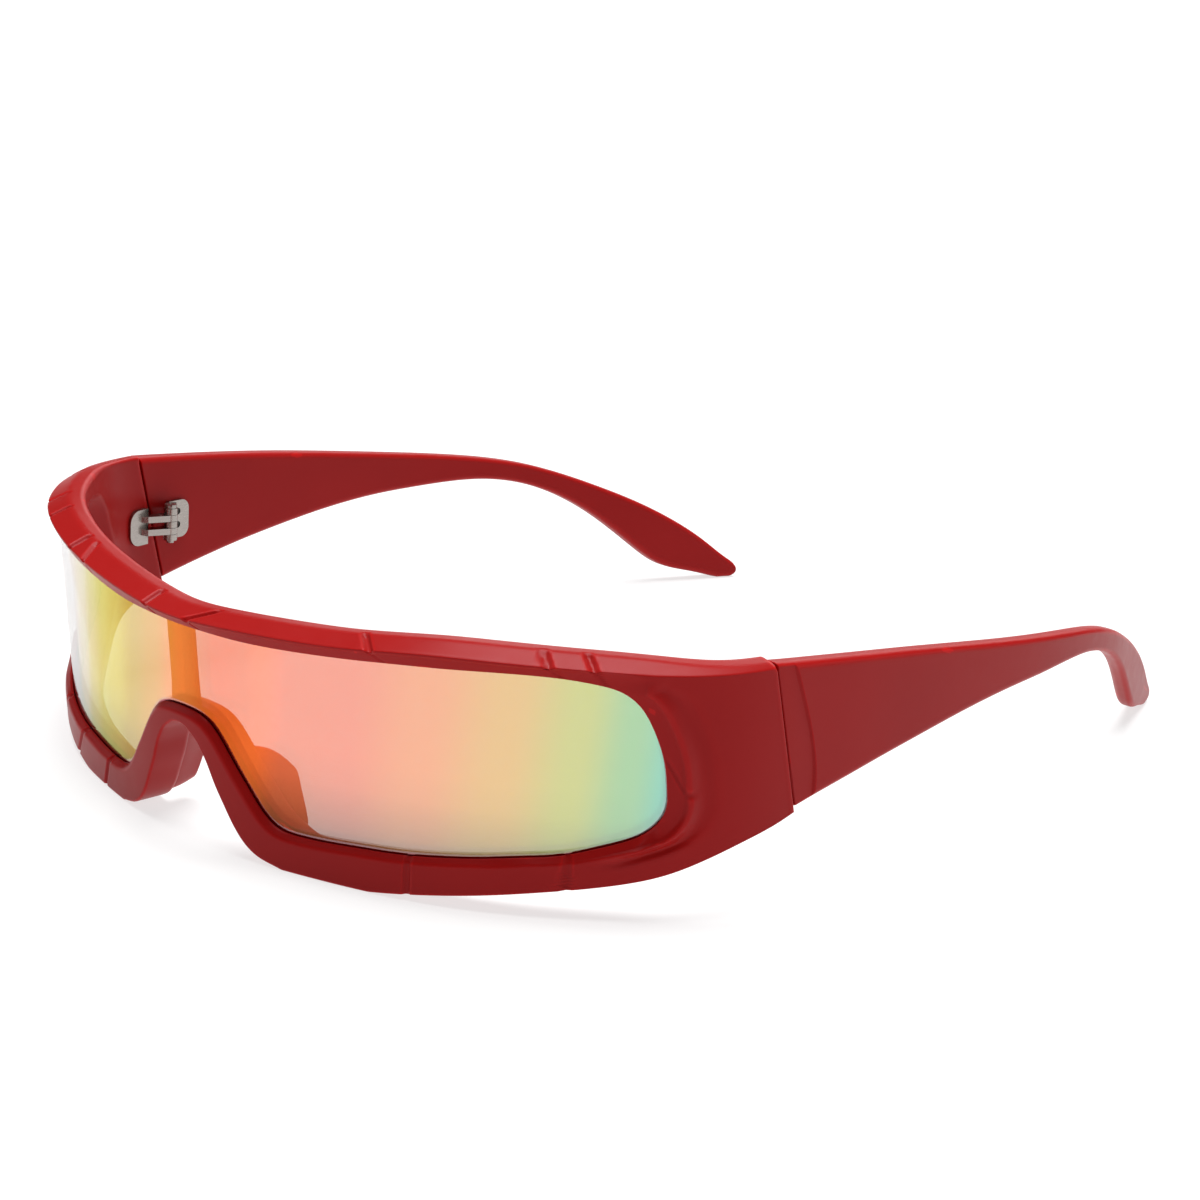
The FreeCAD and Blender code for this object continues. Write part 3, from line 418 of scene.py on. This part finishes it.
LIP = 0.85                                    # lip in front of the lens, behind the crest
SLOT0, SLOT1, MARGIN = 2.53, 1.17, 1.18       # slot that holds the lens, behind the crest
LENS0, LENS1 = 2.45, 1.25                     # back and front of the lens, behind the crest

_nc = chords(NOSE)
NOSE_C = Cubic(_nc, NOSE)


def nose_u(x):
    u = np.linspace(0, _nc[-1], 4000)
    return float(np.interp(x, NOSE_C(u)[:, 0], u))


CORNER_S = float(s_of_y(np.array(seam_y(34.66) - 0.15), np.array(34.66), 2.0))
Z_CORNER = 13.4
BOT_S = float(s_of_y(np.array(seam_y(Z_CORNER) - 0.15), np.array(Z_CORNER), 2.0))
NOSE_CORNER_X = 16.9
NOSE_CORNER_S = float(s_of_x(np.array(NOSE_CORNER_X), 0.0, 1.0))


def s_lip(x):
    return s_of_x(np.asarray(x, float), -LIP, 1.0)


BEVEL = [(0.0, 2.3), (0.1, 2.5), (0.36, 2.6), (0.44, 2.6), (0.5, 2.7), (0.54, 3.2), (0.6, 1.7), (0.66, 0.8), (0.84, 0.8), (1.0, 0.8)]


def station_positions(grooves):
    """Arc lengths along the half outline, closer together at the grooves."""
    u, out = 0.0, []
    ends = [HALF * q for q in (0.475, 0.50, 0.525, 0.555, 0.575)]
    marks_top = sorted(abs(g) for g, _ in grooves[0])
    marks_low = sorted(abs(g) for g, _ in grooves[1])
    while u < HALF - 0.05:
        out.append(u)
        x, z = OUTLINE(u)
        s = abs(float(s_lip(x)))
        near = 9.0
        for m in (marks_top if u < IDX_U[13] else marks_low if u > IDX_U[20] else []):
            near = min(near, abs(s - m))
        step = 0.14 if near < 1.6 else 0.26 if near < 3.2 else 0.42
        if IDX_U[11] < u < IDX_U[22]:
            step = min(step, 0.26)
        u += step
    return np.array(out)


NOSE_U = [nose_u(v) for v in (NOSE_CORNER_X, 13.6, 11.9, 9.6, 8.3, 7.5, 6.6, 5.7, 4.7, 3.6, 2.4, 1.1)] + [0.0]


def half_rows(us, side, grooves_top, grooves_low):
    """Corner points of each profile in (s, z, off), for one half; side is +1 or -1."""
    xz = OUTLINE(us)
    x, z = xz[:, 0], xz[:, 1]
    tang = (OUTLINE(us + 0.05) - OUTLINE(us - 0.05))
    tang /= np.linalg.norm(tang, axis=1)[:, None]
    nx, nz = -tang[:, 1], tang[:, 0]
    out_x = x + MARGIN * nx
    out_z = z + MARGIN * nz

    def at(xx, zz, depth):
        sv = s_of_x(xx, -depth, 1.0)
        return np.stack([sv, zz, wall_t(sv) - depth], axis=-1)

    n = len(us)
    S1, L1, I = at(out_x, out_z, SLOT1), at(x, z, SLOT1), at(x, z, LIP)
    L2, S2 = at(x, z, SLOT0), at(out_x, out_z, SLOT0)
    fall = 1.15 * smooth(us, IDX_U[20], IDX_U[23]) * (1 - smooth(us, IDX_U[29], IDX_U[31]))
    B = np.stack([s_of_x(x, 0.0), z - fall, np.zeros(n)], axis=-1)

    # where each profile meets the edge of the front
    s_in = s_lip(x)
    idx = np.interp(us, IDX_U, np.arange(len(LENS)))
    E, F, G = np.zeros((n, 3)), np.zeros((n, 3)), np.zeros((n, 3))
    kind = np.zeros(n, int)
    b = np.interp(us / HALF, [q for q, w in BEVEL], [w for q, w in BEVEL])
    for i in range(n):
        k = idx[i]
        if k <= 14.0:
            s0 = float(np.interp(k, [0, 9, 10, 11, 12, 13, 14], [0, float(s_lip(48.58)), 58.0, 63.4, 69.5, 75.8, CORNER_S]))
            so = s_in[i] if k < 9 else s0
            t = float(wall_t(so))
            t2 = max(t, 3.1)
            drop = (1.0 + 0.35 * min(1.0, so / 40.0)) * min(1.0, (t2 - 2.5) / 2.4)
            zt = float(top_z(so, 2.5))
            E[i] = (so, zt - drop, t)
            F[i] = (so, zt, min(2.5, t - 0.5))
            G[i] = (so, float(top_z(so, 0.0)), 0.0)
        elif k <= 19.0:
            zc = 34.66 - 0.55
            zz = float(np.interp(k, [14, 15, 16, 17, 18, 19], [zc, 30.0, 26.0, 21.5, 17.5, Z_CORNER]))
            y = seam_y(zz) - 0.15
            for row, off in ((E, None), (F, 2.0), (G, 0.0)):
                o = off
                if o is None:
                    o = float(wall_t(CORNER_S))
                row[i] = (float(s_of_y(np.array(y), np.array(zz), o)), zz, o)
            kind[i] = 1
        elif k <= 30.0:
            s0 = float(np.interp(k, [19, 20, 21, 22, 23, 24, 28, 29, 30],
                                 [BOT_S, 75.0, 68.0, 60.5, 54.2, float(s_lip(43.71)), float(s_lip(22.76)), float(s_lip(19.6)), NOSE_CORNER_S]))
            so = s_in[i] if 24 < k < 28 else s0
            t = float(wall_t(so))
            for row, off in ((E, t), (F, min(2.0, t - 0.5)), (G, 0.0)):
                row[i] = (so, float(bottom_z(so, off)), off)
            kind[i] = 2
        else:
            un = float(np.interp(k, list(range(30, 43)), NOSE_U))
            xn, zn = NOSE_C(un)
            zn = max(float(zn), 0.0)
            t = float(wall_t(float(s_of_x(np.array(xn), 4.0))))
            for row, off in ((E, t), (F, 2.0), (G, 0.0)):
                row[i] = (float(s_of_x(np.array(xn), off)), zn, off)
            kind[i] = 3
    # crest, between the bevel round the lens and the face of the rim
    span = E[:, :2] - I[:, :2]
    length = np.linalg.norm(span, axis=1)
    reach = np.minimum(b, length - 0.30)
    full = smooth(idx, 10.6, 12.6)
    reach = np.where(idx <= 14.0, (length - 0.30) * (1 - full) + np.minimum(b, length - 0.3) * full, reach)
    C = np.zeros((n, 3))
    C[:, :2] = I[:, :2] + span * (reach / length)[:, None]
    C[:, 2] = wall_t(C[:, 0])
    return dict(S1=S1, L1=L1, I=I, C=C, E=E, F=F, G=G, B=B, L2=L2, S2=S2, kind=kind, idx=idx, length=length, reach=reach, side=side)


ROUND = {"S1": 0.05, "L1": 0.06, "I": 0.14, "C": 0.42, "E": 0.38, "F": 0.55, "G": 0.8, "B": 0.5, "L2": 0.05, "S2": 0.05}
ORDER = ["S1", "L1", "I", "C", "E", "F", "G", "B", "L2", "S2"]
INNER = {"S1": 1, "L1": 1, "I": 9, "C": 30, "E": 7, "F": 5, "G": 18, "B": 2, "L2": 1, "S2": 2}
KNEE = 5


def profile_grid(rows):
    """Profiles as a grid of (station, point, 3) in (s, z, off) with rounded corners, and tags per column."""
    cols, tags = [], []
    m = len(ORDER)
    for j, name in enumerate(ORDER):
        p, c, q = rows[ORDER[j - 1]], rows[name], rows[ORDER[(j + 1) % m]]
        la = np.linalg.norm(p - c, axis=1)
        lb = np.linalg.norm(q - c, axis=1)
        r = np.minimum(ROUND[name], 0.45 * np.minimum(la, lb))
        a = c + (p - c) * (r / la)[:, None]
        e = c + (q - c) * (r / lb)[:, None]
        for t in np.linspace(0, 1, KNEE):
            cols.append((1 - t) ** 2 * a + 2 * t * (1 - t) * c + t * t * e)
            tags.append((name, "knee", t))
        nxt = rows[ORDER[(j + 1) % m]]
        after = rows[ORDER[(j + 2) % m]]
        ln = np.linalg.norm(after - nxt, axis=1)
        r2 = np.minimum(ROUND[ORDER[(j + 1) % m]], 0.45 * np.minimum(lb, ln))
        f = nxt + (c - nxt) * (r2 / lb)[:, None]
        k = INNER[name]
        for t in np.linspace(0, 1, k + 2)[1:-1]:
            cols.append(e + (f - e) * t)
            tags.append((name, "run", t))
    return np.stack(cols, axis=1), tags


def shape_face(grid, tags, rows):
    """Face of the rim between crest and edge: follows the wall, with a soft valley behind the crest at the lens ends."""
    I, C, E = rows["I"], rows["C"], rows["E"]
    n = len(I)
    for j, (name, what, t) in enumerate(tags):
        if name == "C" or (name == "E" and what == "knee" and t < 0.5):
            pt = grid[:, j]
            d = np.linalg.norm(pt[:, :2] - I[:, :2], axis=1)
            beyond = d - rows["reach"]
            room = rows["length"] - rows["reach"]
            amount = smooth(room, 2.0, 8.5) * smooth(rows["idx"], 10.0, 14.0) * (1 - smooth(rows["idx"], 20.5, 22.0))
            wall = wall_t(pt[:, 0])
            share = smooth(beyond, 0.0, 0.6)
            line = np.where(room > 0.6, wall * share + pt[:, 2] * (1 - share), pt[:, 2])
            # bead on the crest that sinks into a valley and rises again to the panel
            bead = 0.40 * np.exp(-(beyond / 0.75) ** 2) - 0.42 * np.exp(-((beyond - 1.9) / 1.0) ** 2)
            pt[:, 2] = np.where(what == "knee" and name == "E", pt[:, 2], line + amount * bead)
            pt[:, 2] += 0.13 * (rows["kind"] == 0) * (1 - smooth(rows["idx"], 8.0, 12.0))
    return grid


def cut_grooves(grid, tags, rows, top, low):
    """Shallow grooves: deep over the brow's facet, thin lines down its bevel, and notches across the lower rim."""
    side = rows["side"]
    kind = rows["kind"]
    I, C, E, F = rows["I"], rows["C"], rows["E"], rows["F"]
    facet = F - E
    flen = np.linalg.norm(facet[:, 1:], axis=1)
    f_n = np.stack([-facet[:, 2], facet[:, 1]], axis=1) / flen[:, None]     # (z part, off part), outwards
    bev = C - I
    blen = np.linalg.norm(bev[:, 1:], axis=1)
    for j, (name, what, t) in enumerate(tags):
        pt = grid[:, j]
        if name not in ("I", "C", "E", "F"):
            continue
        dz = np.zeros(len(pt))
        do = np.zeros(len(pt))
        # place across the facet: 0 at its top edge, 1 at the crest
        w = np.clip((F[:, 1] - pt[:, 1]) / np.maximum(F[:, 1] - E[:, 1], 1e-6), 0, 1)
        for s0, lean in top:
            a = abs(s0)
            if name in ("C", "E") or (name == "F" and what == "knee"):
                gap = np.abs(pt[:, 0] - (a + lean * (w - 0.5)))
                prof = np.exp(-(gap / 0.50) ** 4)
                fade = 1.0 if name != "F" else 1.0 - t
                on = (kind == 0) & (rows["idx"] < 13.5)
                depth = 0.45 * prof * fade * on
                dz -= depth * np.abs(f_n[:, 0]) * 0.9
                do -= depth * np.abs(f_n[:, 1]) + depth * 0.35
            if name == "I" and what == "run" or (name == "C" and what == "knee" and t < 0.5):
                q = t if name == "I" else 1.0
                gap = np.abs(pt[:, 0] - (a + lean * 0.5 + (1.6 if s0 > 0 else -1.2) * (1 - q)))
                on = (kind == 0) & (rows["idx"] < 11.5)
                do -= 0.16 * np.exp(-(gap / 0.26) ** 2) * on
        for s0, lean in low:
            a = abs(s0)
            if name in ("C", "E", "I"):
                zz = pt[:, 1]
                q = np.clip((zz - E[:, 1]) / np.maximum(I[:, 1] - E[:, 1], 1e-6), 0, 1)
                gap = np.abs(pt[:, 0] - (a + lean * (q - 0.5)))
                on = (kind == 2)
                fade = np.where(name == "E", 1.0 - t if what == "run" else 1.0, 1.0)
                do -= 0.32 * np.exp(-(gap / 0.45) ** 4) * on * fade
        # slanted lines across the bevel at the lens ends
        if name == "I" and what == "run" or (name == "C" and what == "knee"):
            q = t if name == "I" else 1.0
            for za, zb in ((23.1, 18.1), (13.0, 10.8)):
                gap = np.abs(pt[:, 1] - (za + (zb - za) * q)) * 0.6
                on = smooth(rows["idx"], 14.5, 15.8) * (1 - smooth(rows["idx"], 21.0, 22.0))
                do -= 0.20 * np.exp(-(gap / 0.30) ** 4) * on
        pt[:, 1] += dz
        pt[:, 2] += do
    return grid


def build_front():
    parts = []
    for side in (1, -1):
        top = [g for g in GROOVES_TOP if g[0] * side > 0]
        low = [g for g in GROOVES_LOW if g[0] * side > 0]
        us = station_positions((top, low))
        if side < 0:
            us = np.concatenate([us[1:], [HALF]])
        rows = half_rows(us, side, top, low)
        grid, tags = profile_grid(rows)
        grid = shape_face(grid, tags, rows)
        grid = cut_grooves(grid, tags, rows, top, low)
        pts = place(grid[..., 0], grid[..., 1], grid[..., 2])
        if side < 0:
            pts = pts[::-1].copy()
            pts[..., 0] *= -1
        parts.append(pts)
    ring = np.concatenate(parts, axis=0)
    n, m = ring.shape[:2]
    verts = ring.reshape(-1, 3)
    faces = []
    for i in range(n):
        i2 = (i + 1) % n
        for j in range(m):
            j2 = (j + 1) % m
            faces.append((i * m + j, i2 * m + j, i2 * m + j2, i * m + j2))
    return verts, faces


verts, faces = build_front()
front = new_object("frame_front_shell", verts, faces, RED)
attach(front, "front")
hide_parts("frame_front")


# nose pads: rounded wings that flare back from the nose cut-out
PADS = [
    (-0.5, 1.7, [(4.0, 14.4), (5.3, 12.4), (6.7, 9.4), (8.9, 5.3), (11.2, 2.4)]),
    (4.0, 1.7, [(5.0, 13.6), (6.4, 11.5), (7.7, 8.7), (9.4, 4.9), (11.6, 1.5)]),
    (7.5, 1.9, [(6.6, 13.2), (7.9, 10.7), (9.2, 7.7), (10.4, 4.8), (12.0, 1.5)]),
    (10.0, 1.2, [(8.8, 10.3), (9.4, 8.8), (10.1, 7.0), (10.8, 5.2), (11.9, 2.6)]),
]


def ring_mesh(rings, name, mat, levels=2):
    rings = np.asarray(rings, float)
    n, m = rings.shape[:2]
    verts = rings.reshape(-1, 3)
    faces = []
    for i in range(n - 1):
        for j in range(m):
            j2 = (j + 1) % m
            faces.append((i * m + j, i * m + j2, (i + 1) * m + j2, (i + 1) * m + j))
    faces.append(tuple(range(m)))
    faces.append(tuple((n - 1) * m + j for j in reversed(range(m))))
    ob = new_object(name, verts, faces, mat)
    if levels:
        sub = ob.modifiers.new("round", "SUBSURF")
        sub.levels = sub.render_levels = levels
    return ob


for side, label in ((1, "left"), (-1, "right")):
    rings = []
    for y, t, pts in [(-0.7, 1.7, PADS[0][2])] + PADS + [(10.15, 1.0, PADS[-1][2])]:
        inner, outer = [], []
        sunk = 0.8 if y < 0 else 0.0        # the root is inside the rim
        for i, (a, c) in enumerate(pts):
            a0, c0 = pts[max(i - 1, 0)]
            a1, c1 = pts[min(i + 1, len(pts) - 1)]
            h = math.hypot(a1 - a0, c1 - c0)
            inner.append((a - sunk * (c1 - c0) / h, c + sunk * (a1 - a0) / h))
            outer.append((a - t * (c1 - c0) / h, c + t * (a1 - a0) / h))
        loop = inner + list(reversed(outer))
        slope = 0.20 if y < 0 else 0.0      # the root follows the leaning front
        rings.append([(side * a, y - MID + slope * max(0.0, 15.0 - c), c) for a, c in loop])
    pad = ring_mesh(rings, "nose_pad_" + label, RED)
    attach(pad, "front")

# bar behind the lens at the centre, which carries the bridge
rings = []
for z in (17.4, 17.8, 19.0, 21.5, 25.0, 29.0, 32.0, 32.5):
    w = 2.7 + 0.7 * max(0.0, (20.0 - z) / 2.6)
    y0 = -3.3 + (TILT_Z - z) * TILT
    y1 = -2.2 + (TILT_Z - z) * TILT
    c = 0.25
    rings.append([(a - 1.5, b - MID, z) for a, b in ((-w + c, y0), (w - c, y0), (w, y0 + c), (w, y1 - c), (w - c, y1), (-w + c, y1), (-w, y1 - c), (-w, y0 + c))])
bar = ring_mesh(rings, "bridge_bar", RED, 2)
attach(bar, "front")


# ------------------------------------------------------------------ lens
def build_lens():
    u = np.linspace(0, HALF, 1600)
    xz = OUTLINE(u)
    t = OUTLINE(u + 0.05) - OUTLINE(u - 0.05)
    t /= np.linalg.norm(t, axis=1)[:, None]
    edge = xz + 1.05 * np.stack([-t[:, 1], t[:, 0]], axis=1)
    k = int(np.argmax(edge[:, 0]))
    hi, lo = edge[:k + 1], edge[k:][::-1]
    x_end = edge[k, 0]
    cols = 361
    rows = 84
    a = np.linspace(-1, 1, cols)
    xs = x_end * np.sin(a * math.pi / 2 * 0.9995)
    zh = np.interp(np.abs(xs), np.maximum.accumulate(hi[:, 0]), hi[:, 1])
    zl = np.interp(np.abs(xs), np.maximum.accumulate(lo[:, 0]), lo[:, 1])
    f = 0.5 - 0.5 * np.cos(math.pi * np.linspace(0, 1, rows))
    zz = zl[:, None] + (zh - zl)[:, None] * f[None, :]
    xx = np.repeat(xs[:, None], rows, axis=1)
    # distance of each point from the edge of the opening, and whether it lies along the lower side; these place the
    # painted shade and highlight line in the lens material
    near = np.full(xx.shape, 99.0)
    for k0 in range(0, len(xz), 40):
        q = xz[k0:k0 + 40]
        near = np.minimum(near, np.sqrt((np.abs(xx)[..., None] - q[:, 0]) ** 2 + (zz[..., None] - q[:, 1]) ** 2).min(axis=-1))
    kk = int(np.argmax(xz[:, 0]))
    up0 = np.interp(np.abs(xx), np.maximum.accumulate(xz[:kk + 1, 0]), xz[:kk + 1, 1])
    lo0 = np.interp(np.abs(xx), np.maximum.accumulate(xz[kk:][::-1][:, 0]), xz[kk:][::-1][:, 1])
    inside = (zz < up0) & (zz > lo0) & (np.abs(xx) < xz[kk, 0])
    rim = np.stack([np.clip(np.where(inside, near, -near), -1.9, 7.9) / 10.0 + 0.2, smooth((up0 + lo0) / 2 - zz, -1.0, 4.0)], axis=-1)
    out, uvs = [], []
    for depth in (LENS1, LENS0):
        s = s_of_x(xx, -depth, 1.0)
        out.append(place(s, zz, wall_t(s) - depth))
        uvs.append(np.stack([s / 150.0 + 0.5, zz / 35.0], axis=-1))
    n = cols * rows
    verts = np.concatenate([out[0].reshape(-1, 3), out[1].reshape(-1, 3)])
    uv = np.concatenate([uvs[0].reshape(-1, 2), uvs[1].reshape(-1, 2)])
    faces = []
    for i in range(cols - 1):
        for j in range(rows - 1):
            q = (i * rows + j, (i + 1) * rows + j, (i + 1) * rows + j + 1, i * rows + j + 1)
            faces.append(q)
            faces.append(tuple(n + v for v in reversed(q)))
    border = [i * rows for i in range(cols)] + [(cols - 1) * rows + j for j in range(1, rows)]
    border += [i * rows + rows - 1 for i in reversed(range(cols - 1))] + [j for j in reversed(range(1, rows - 1))]
    for a0, a1 in zip(border, border[1:] + border[:1]):
        faces.append((a1, a0, n + a0, n + a1))
    return verts, faces, uv, np.concatenate([rim.reshape(-1, 2)] * 2)


verts, faces, uv, rim_uv = build_lens()
lens = new_object("shield_lens_coated", verts, faces, LENS_MAT)
layer = lens.data.uv_layers.new(name="arc")
li = np.zeros(len(lens.data.loops), np.int32)
lens.data.loops.foreach_get("vertex_index", li)
layer.data.foreach_set("uv", uv[li].astype(np.float32).ravel())
layer = lens.data.uv_layers.new(name="rim")
layer.data.foreach_set("uv", rim_uv[li].astype(np.float32).ravel())
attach(lens, "front")
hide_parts("shield_lens")


# ------------------------------------------------------------------ temples: rungs between the lower and the upper edge
_tc = Cubic(chords([(x, y) for x, y, t in TEMPLE]), [(x, y) for x, y, t in TEMPLE])
_tu = np.linspace(0, _tc.u[-1], 4001)
_tp2 = _tc(_tu)
_td = np.gradient(_tp2, _tu, axis=0)
_td /= np.linalg.norm(_td, axis=1)[:, None]
_tt = Cubic([y for x, y, t in TEMPLE], [t for x, y, t in TEMPLE])


def temple_place(y, z, w):
    """Points of the left temple at depth y, height z, and w from its inner wall, mm."""
    yp = np.array(y, float)
    for _ in range(6):
        yp = y - w * np.interp(yp, _tp2[:, 1], -_td[:, 0])
    x = np.interp(yp, _tp2[:, 1], _tp2[:, 0]) + w * np.interp(yp, _tp2[:, 1], _td[:, 1])
    return np.stack([x, y - MID, z], axis=-1)


STEP = [(42.25, 37.3), (43.29, 34.79), (45.76, 28.93), (48.02, 22.87), (48.96, 18.15), (48.68, 11.5)]
_st = Cubic([z for y, z in reversed(STEP)], [y for y, z in reversed(STEP)])


def seam_start(edge):
    """Where an edge of the temple crosses its seam."""
    pts = np.array(sorted(edge))
    y = np.linspace(38.0, 49.0, 2201)
    z = np.interp(y, pts[:, 0], pts[:, 1])
    i = int(np.argmin(np.abs(y - seam_y(z) - 0.15)))
    return float(y[i]), float(z[i])


def temple_mesh():
    a, b = seam_start(TTOP), seam_start(TLOW)
    up = [a] + [r for r in TTOP if r[0] > a[0] + 1.5] + [(164.7, 2.55), (165.2, 1.72)]
    lo = [b] + [r for r in reversed(TLOW) if r[0] > b[0] + 1.0] + [(164.0, 0.0), (164.9, 0.5), (165.17, 1.25)]
    cu, cl = Cubic(chords(up), up), Cubic(chords(lo), lo)
    total = cu.u[-1]
    d = [0.0, 0.02, 0.06, 0.12, 0.2]
    while d[-1] < 10.0:
        d.append(d[-1] + 0.11)
    while d[-1] < total - 8.0:
        d.append(d[-1] + 0.7)
    while d[-1] < total - 2.0:
        d.append(d[-1] + 0.3)
    while d[-1] < total - 0.08:
        d.append(d[-1] + 0.09)
    d = np.array(d)
    P, Q = cl(d / total * cl.u[-1]), cu(d)
    P[:, 1] = np.maximum(P[:, 1], 0.0)
    rings = []
    for i, dist in enumerate(d):
        H = float(np.linalg.norm(Q[i] - P[i]))
        e = (Q[i] - P[i]) / H
        t = float(_tt(np.clip((P[i, 0] + Q[i, 0]) / 2, 36.5, 166.0)))
        ins = 0.2 - math.sqrt(max(0.0, 0.04 - (0.2 - min(dist, 0.2)) ** 2))
        left = total - dist
        ins_w = ins + (1.35 - math.sqrt(max(0.0, 1.35 ** 2 - (1.35 - min(left, 1.35)) ** 2))) * 0.95
        h0, h1, w0, w1 = ins, H - ins, ins_w, t - ins_w
        r = min(1.05, 0.48 * (h1 - h0), 0.48 * (w1 - w0))
        loop = []
        for f in np.linspace(0, 1, 30):
            loop.append((h0 + r + (h1 - h0 - 2 * r) * f, w0))
        for ang in np.linspace(0, math.pi / 2, 8)[1:]:
            loop.append((h1 - r + r * math.sin(ang), w0 + r - r * math.cos(ang)))
        for f in np.linspace(0, 1, 4)[1:]:
            loop.append((h1, w0 + r + (w1 - w0 - 2 * r) * f))
        for ang in np.linspace(0, math.pi / 2, 8)[1:]:
            loop.append((h1 - r + r * math.cos(ang), w1 - r + r * math.sin(ang)))
        for f in np.linspace(0, 1, 30)[1:]:
            loop.append((h1 - r - (h1 - h0 - 2 * r) * f, w1))
        for ang in np.linspace(0, math.pi / 2, 8)[1:]:
            loop.append((h0 + r - r * math.sin(ang), w1 - r + r * math.cos(ang)))
        for f in np.linspace(0, 1, 4)[1:]:
            loop.append((h0, w1 - r - (w1 - w0 - 2 * r) * f))
        for ang in np.linspace(0, math.pi / 2, 8)[1:-1]:
            loop.append((h0 + r - r * math.cos(ang), w0 + r - r * math.sin(ang)))
        loop = np.array(loop)
        y = P[i, 0] + e[0] * loop[:, 0]
        z = P[i, 1] + e[1] * loop[:, 0]
        w = loop[:, 1]
        if dist < 12.0:
            lower = 0.3 * (1 - smooth(y - _st(np.clip(z, 11.5, 37.3)), -0.10, 0.10))
            w = np.minimum(w, t - lower)
        rings.append(temple_place(y, z, w))
    return np.array(rings)


rings = temple_mesh()
for label, side in (("left", 1), ("right", -1)):
    rr = rings.copy()
    rr[..., 0] *= side
    arm = ring_mesh(rr, "temple_arm_" + label, RED, 0)
    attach(arm, label + "_temple")
    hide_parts("temple_" + label)


# ------------------------------------------------------------------ metal parts keep their CAD meshes
def finish_node(name, mat, width):
    ob = nodes[name]
    ob.data.materials.clear()
    ob.data.materials.append(mat)
    if width:
        bv = ob.modifiers.new("edge", "BEVEL")
        bv.width = width * MM
        bv.segments = 2
        bv.limit_method = "ANGLE"
        bv.angle_limit = math.radians(40)


for label in ("left", "right"):
    finish_node("front_hinge_" + label, NICKEL, 0.0)
    finish_node("temple_hinge_" + label, NICKEL, 0.0)
    finish_node("hinge_screw_" + label, SCREW, 0.0)
    finish_node("temple_rivets_" + label, RIVET, 0.0)

# ------------------------------------------------------------------ stage, light and camera
def floor_material():
    mat = bpy.data.materials.new("floor_white")
    nt, bs = nodes_of(mat)
    v = coords(nt)
    nt.links.new(ramp(nt, noise(nt, v, 3.0, 2.0), [(0.3, (0.295, 0.295, 0.295)), (0.7, (0.305, 0.305, 0.305))]), bs.inputs["Base Color"])
    bs.inputs["Roughness"].default_value = 0.9
    bs.inputs["Specular IOR Level"].default_value = 0.0
    # a light table: the sheet glows from below, which keeps shadows pale
    bs.inputs["Emission Color"].default_value = (1, 1, 1, 1)
    bs.inputs["Emission Strength"].default_value = 0.71
    return mat


bpy.ops.mesh.primitive_plane_add(size=8.0, location=(0, 0, 0))
floor = bpy.context.active_object
floor.name = "studio_floor"
floor.data.materials.append(floor_material())


def area(name, loc, target, size, power, size_y=None):
    li = bpy.data.lights.new(name, "AREA")
    li.energy = power
    li.size = size
    if size_y:
        li.shape = "RECTANGLE"
        li.size_y = size_y
    ob = bpy.data.objects.new(name, li)
    scene.collection.objects.link(ob)
    ob.location = loc
    d = Matrix(((1, 0, 0), (0, 1, 0), (0, 0, 1)))
    v = (ob.location.__class__(target) - ob.location).normalized()
    ob.rotation_euler = v.to_track_quat("-Z", "Y").to_euler()
    return ob


def wide_sun(name, direction, strength, angle):
    li = bpy.data.lights.new(name, "SUN")
    li.energy = strength
    li.angle = math.radians(angle)
    ob = bpy.data.objects.new(name, li)
    scene.collection.objects.link(ob)
    ob.location = direction
    v = (-ob.location).normalized()
    ob.rotation_euler = v.to_track_quat("-Z", "Y").to_euler()
    return ob


wide_sun("overhead_diffuser", (-0.05, 0.10, 1.0), 5.0, 46.0)
area("back_left_softbox", (-0.75, 1.25, 0.62), (0, 0, 0.02), 1.2, 4.2, 0.6)
area("back_right_softbox", (0.95, 1.15, 0.45), (0, 0, 0.02), 1.0, 1.6, 0.6)
area("left_softbox", (-1.0, -0.5, 0.7), (0, 0, 0.02), 0.9, 2.0)
area("right_softbox", (1.2, 0.35, 0.5), (0, 0, 0.02), 0.9, 1.5)

world = bpy.data.worlds.new("studio")
scene.world = world
world.use_nodes = True
bg = world.node_tree.nodes["Background"]
bg.inputs["Color"].default_value = (1, 1, 1, 1)
bg.inputs["Strength"].default_value = 0.06

AZ, EL, ROLL = math.radians(42.264), math.radians(15.0), math.radians(4.501)
back = np.array([math.sin(AZ) * math.cos(EL), -math.cos(AZ) * math.cos(EL), math.sin(EL)])
right = np.array([math.cos(AZ), math.sin(AZ), 0.0])
up = np.cross(back, right)
r2 = math.cos(ROLL) * right + math.sin(ROLL) * up
u2 = -math.sin(ROLL) * right + math.cos(ROLL) * up
LEAN = 0.0233                                 # the front and the tips both rest on the table
eye = np.array([286.65, -233.12 - MID, 141.89]) * MM


def leaned(v):
    return np.array([v[0], v[1] * math.cos(LEAN) + v[2] * math.sin(LEAN), v[2] * math.cos(LEAN) - v[1] * math.sin(LEAN)])


r2, u2, back = leaned(r2), leaned(u2), leaned(back)
cam_data = bpy.data.cameras.new("photo_camera")
cam_data.sensor_fit = "HORIZONTAL"
cam_data.sensor_width = 36.0
cam_data.lens = 85.587
cam_data.clip_start = 0.01
cam_data.clip_end = 50.0
cam = bpy.data.objects.new("photo_camera", cam_data)
scene.collection.objects.link(cam)
cam.matrix_world = Matrix(((r2[0], u2[0], back[0], eye[0]), (r2[1], u2[1], back[1], eye[1]), (r2[2], u2[2], back[2], eye[2]), (0, 0, 0, 1)))
scene.camera = cam

scene.view_settings.view_transform = "Standard"
scene.view_settings.look = "None"

bpy.context.view_layer.update()
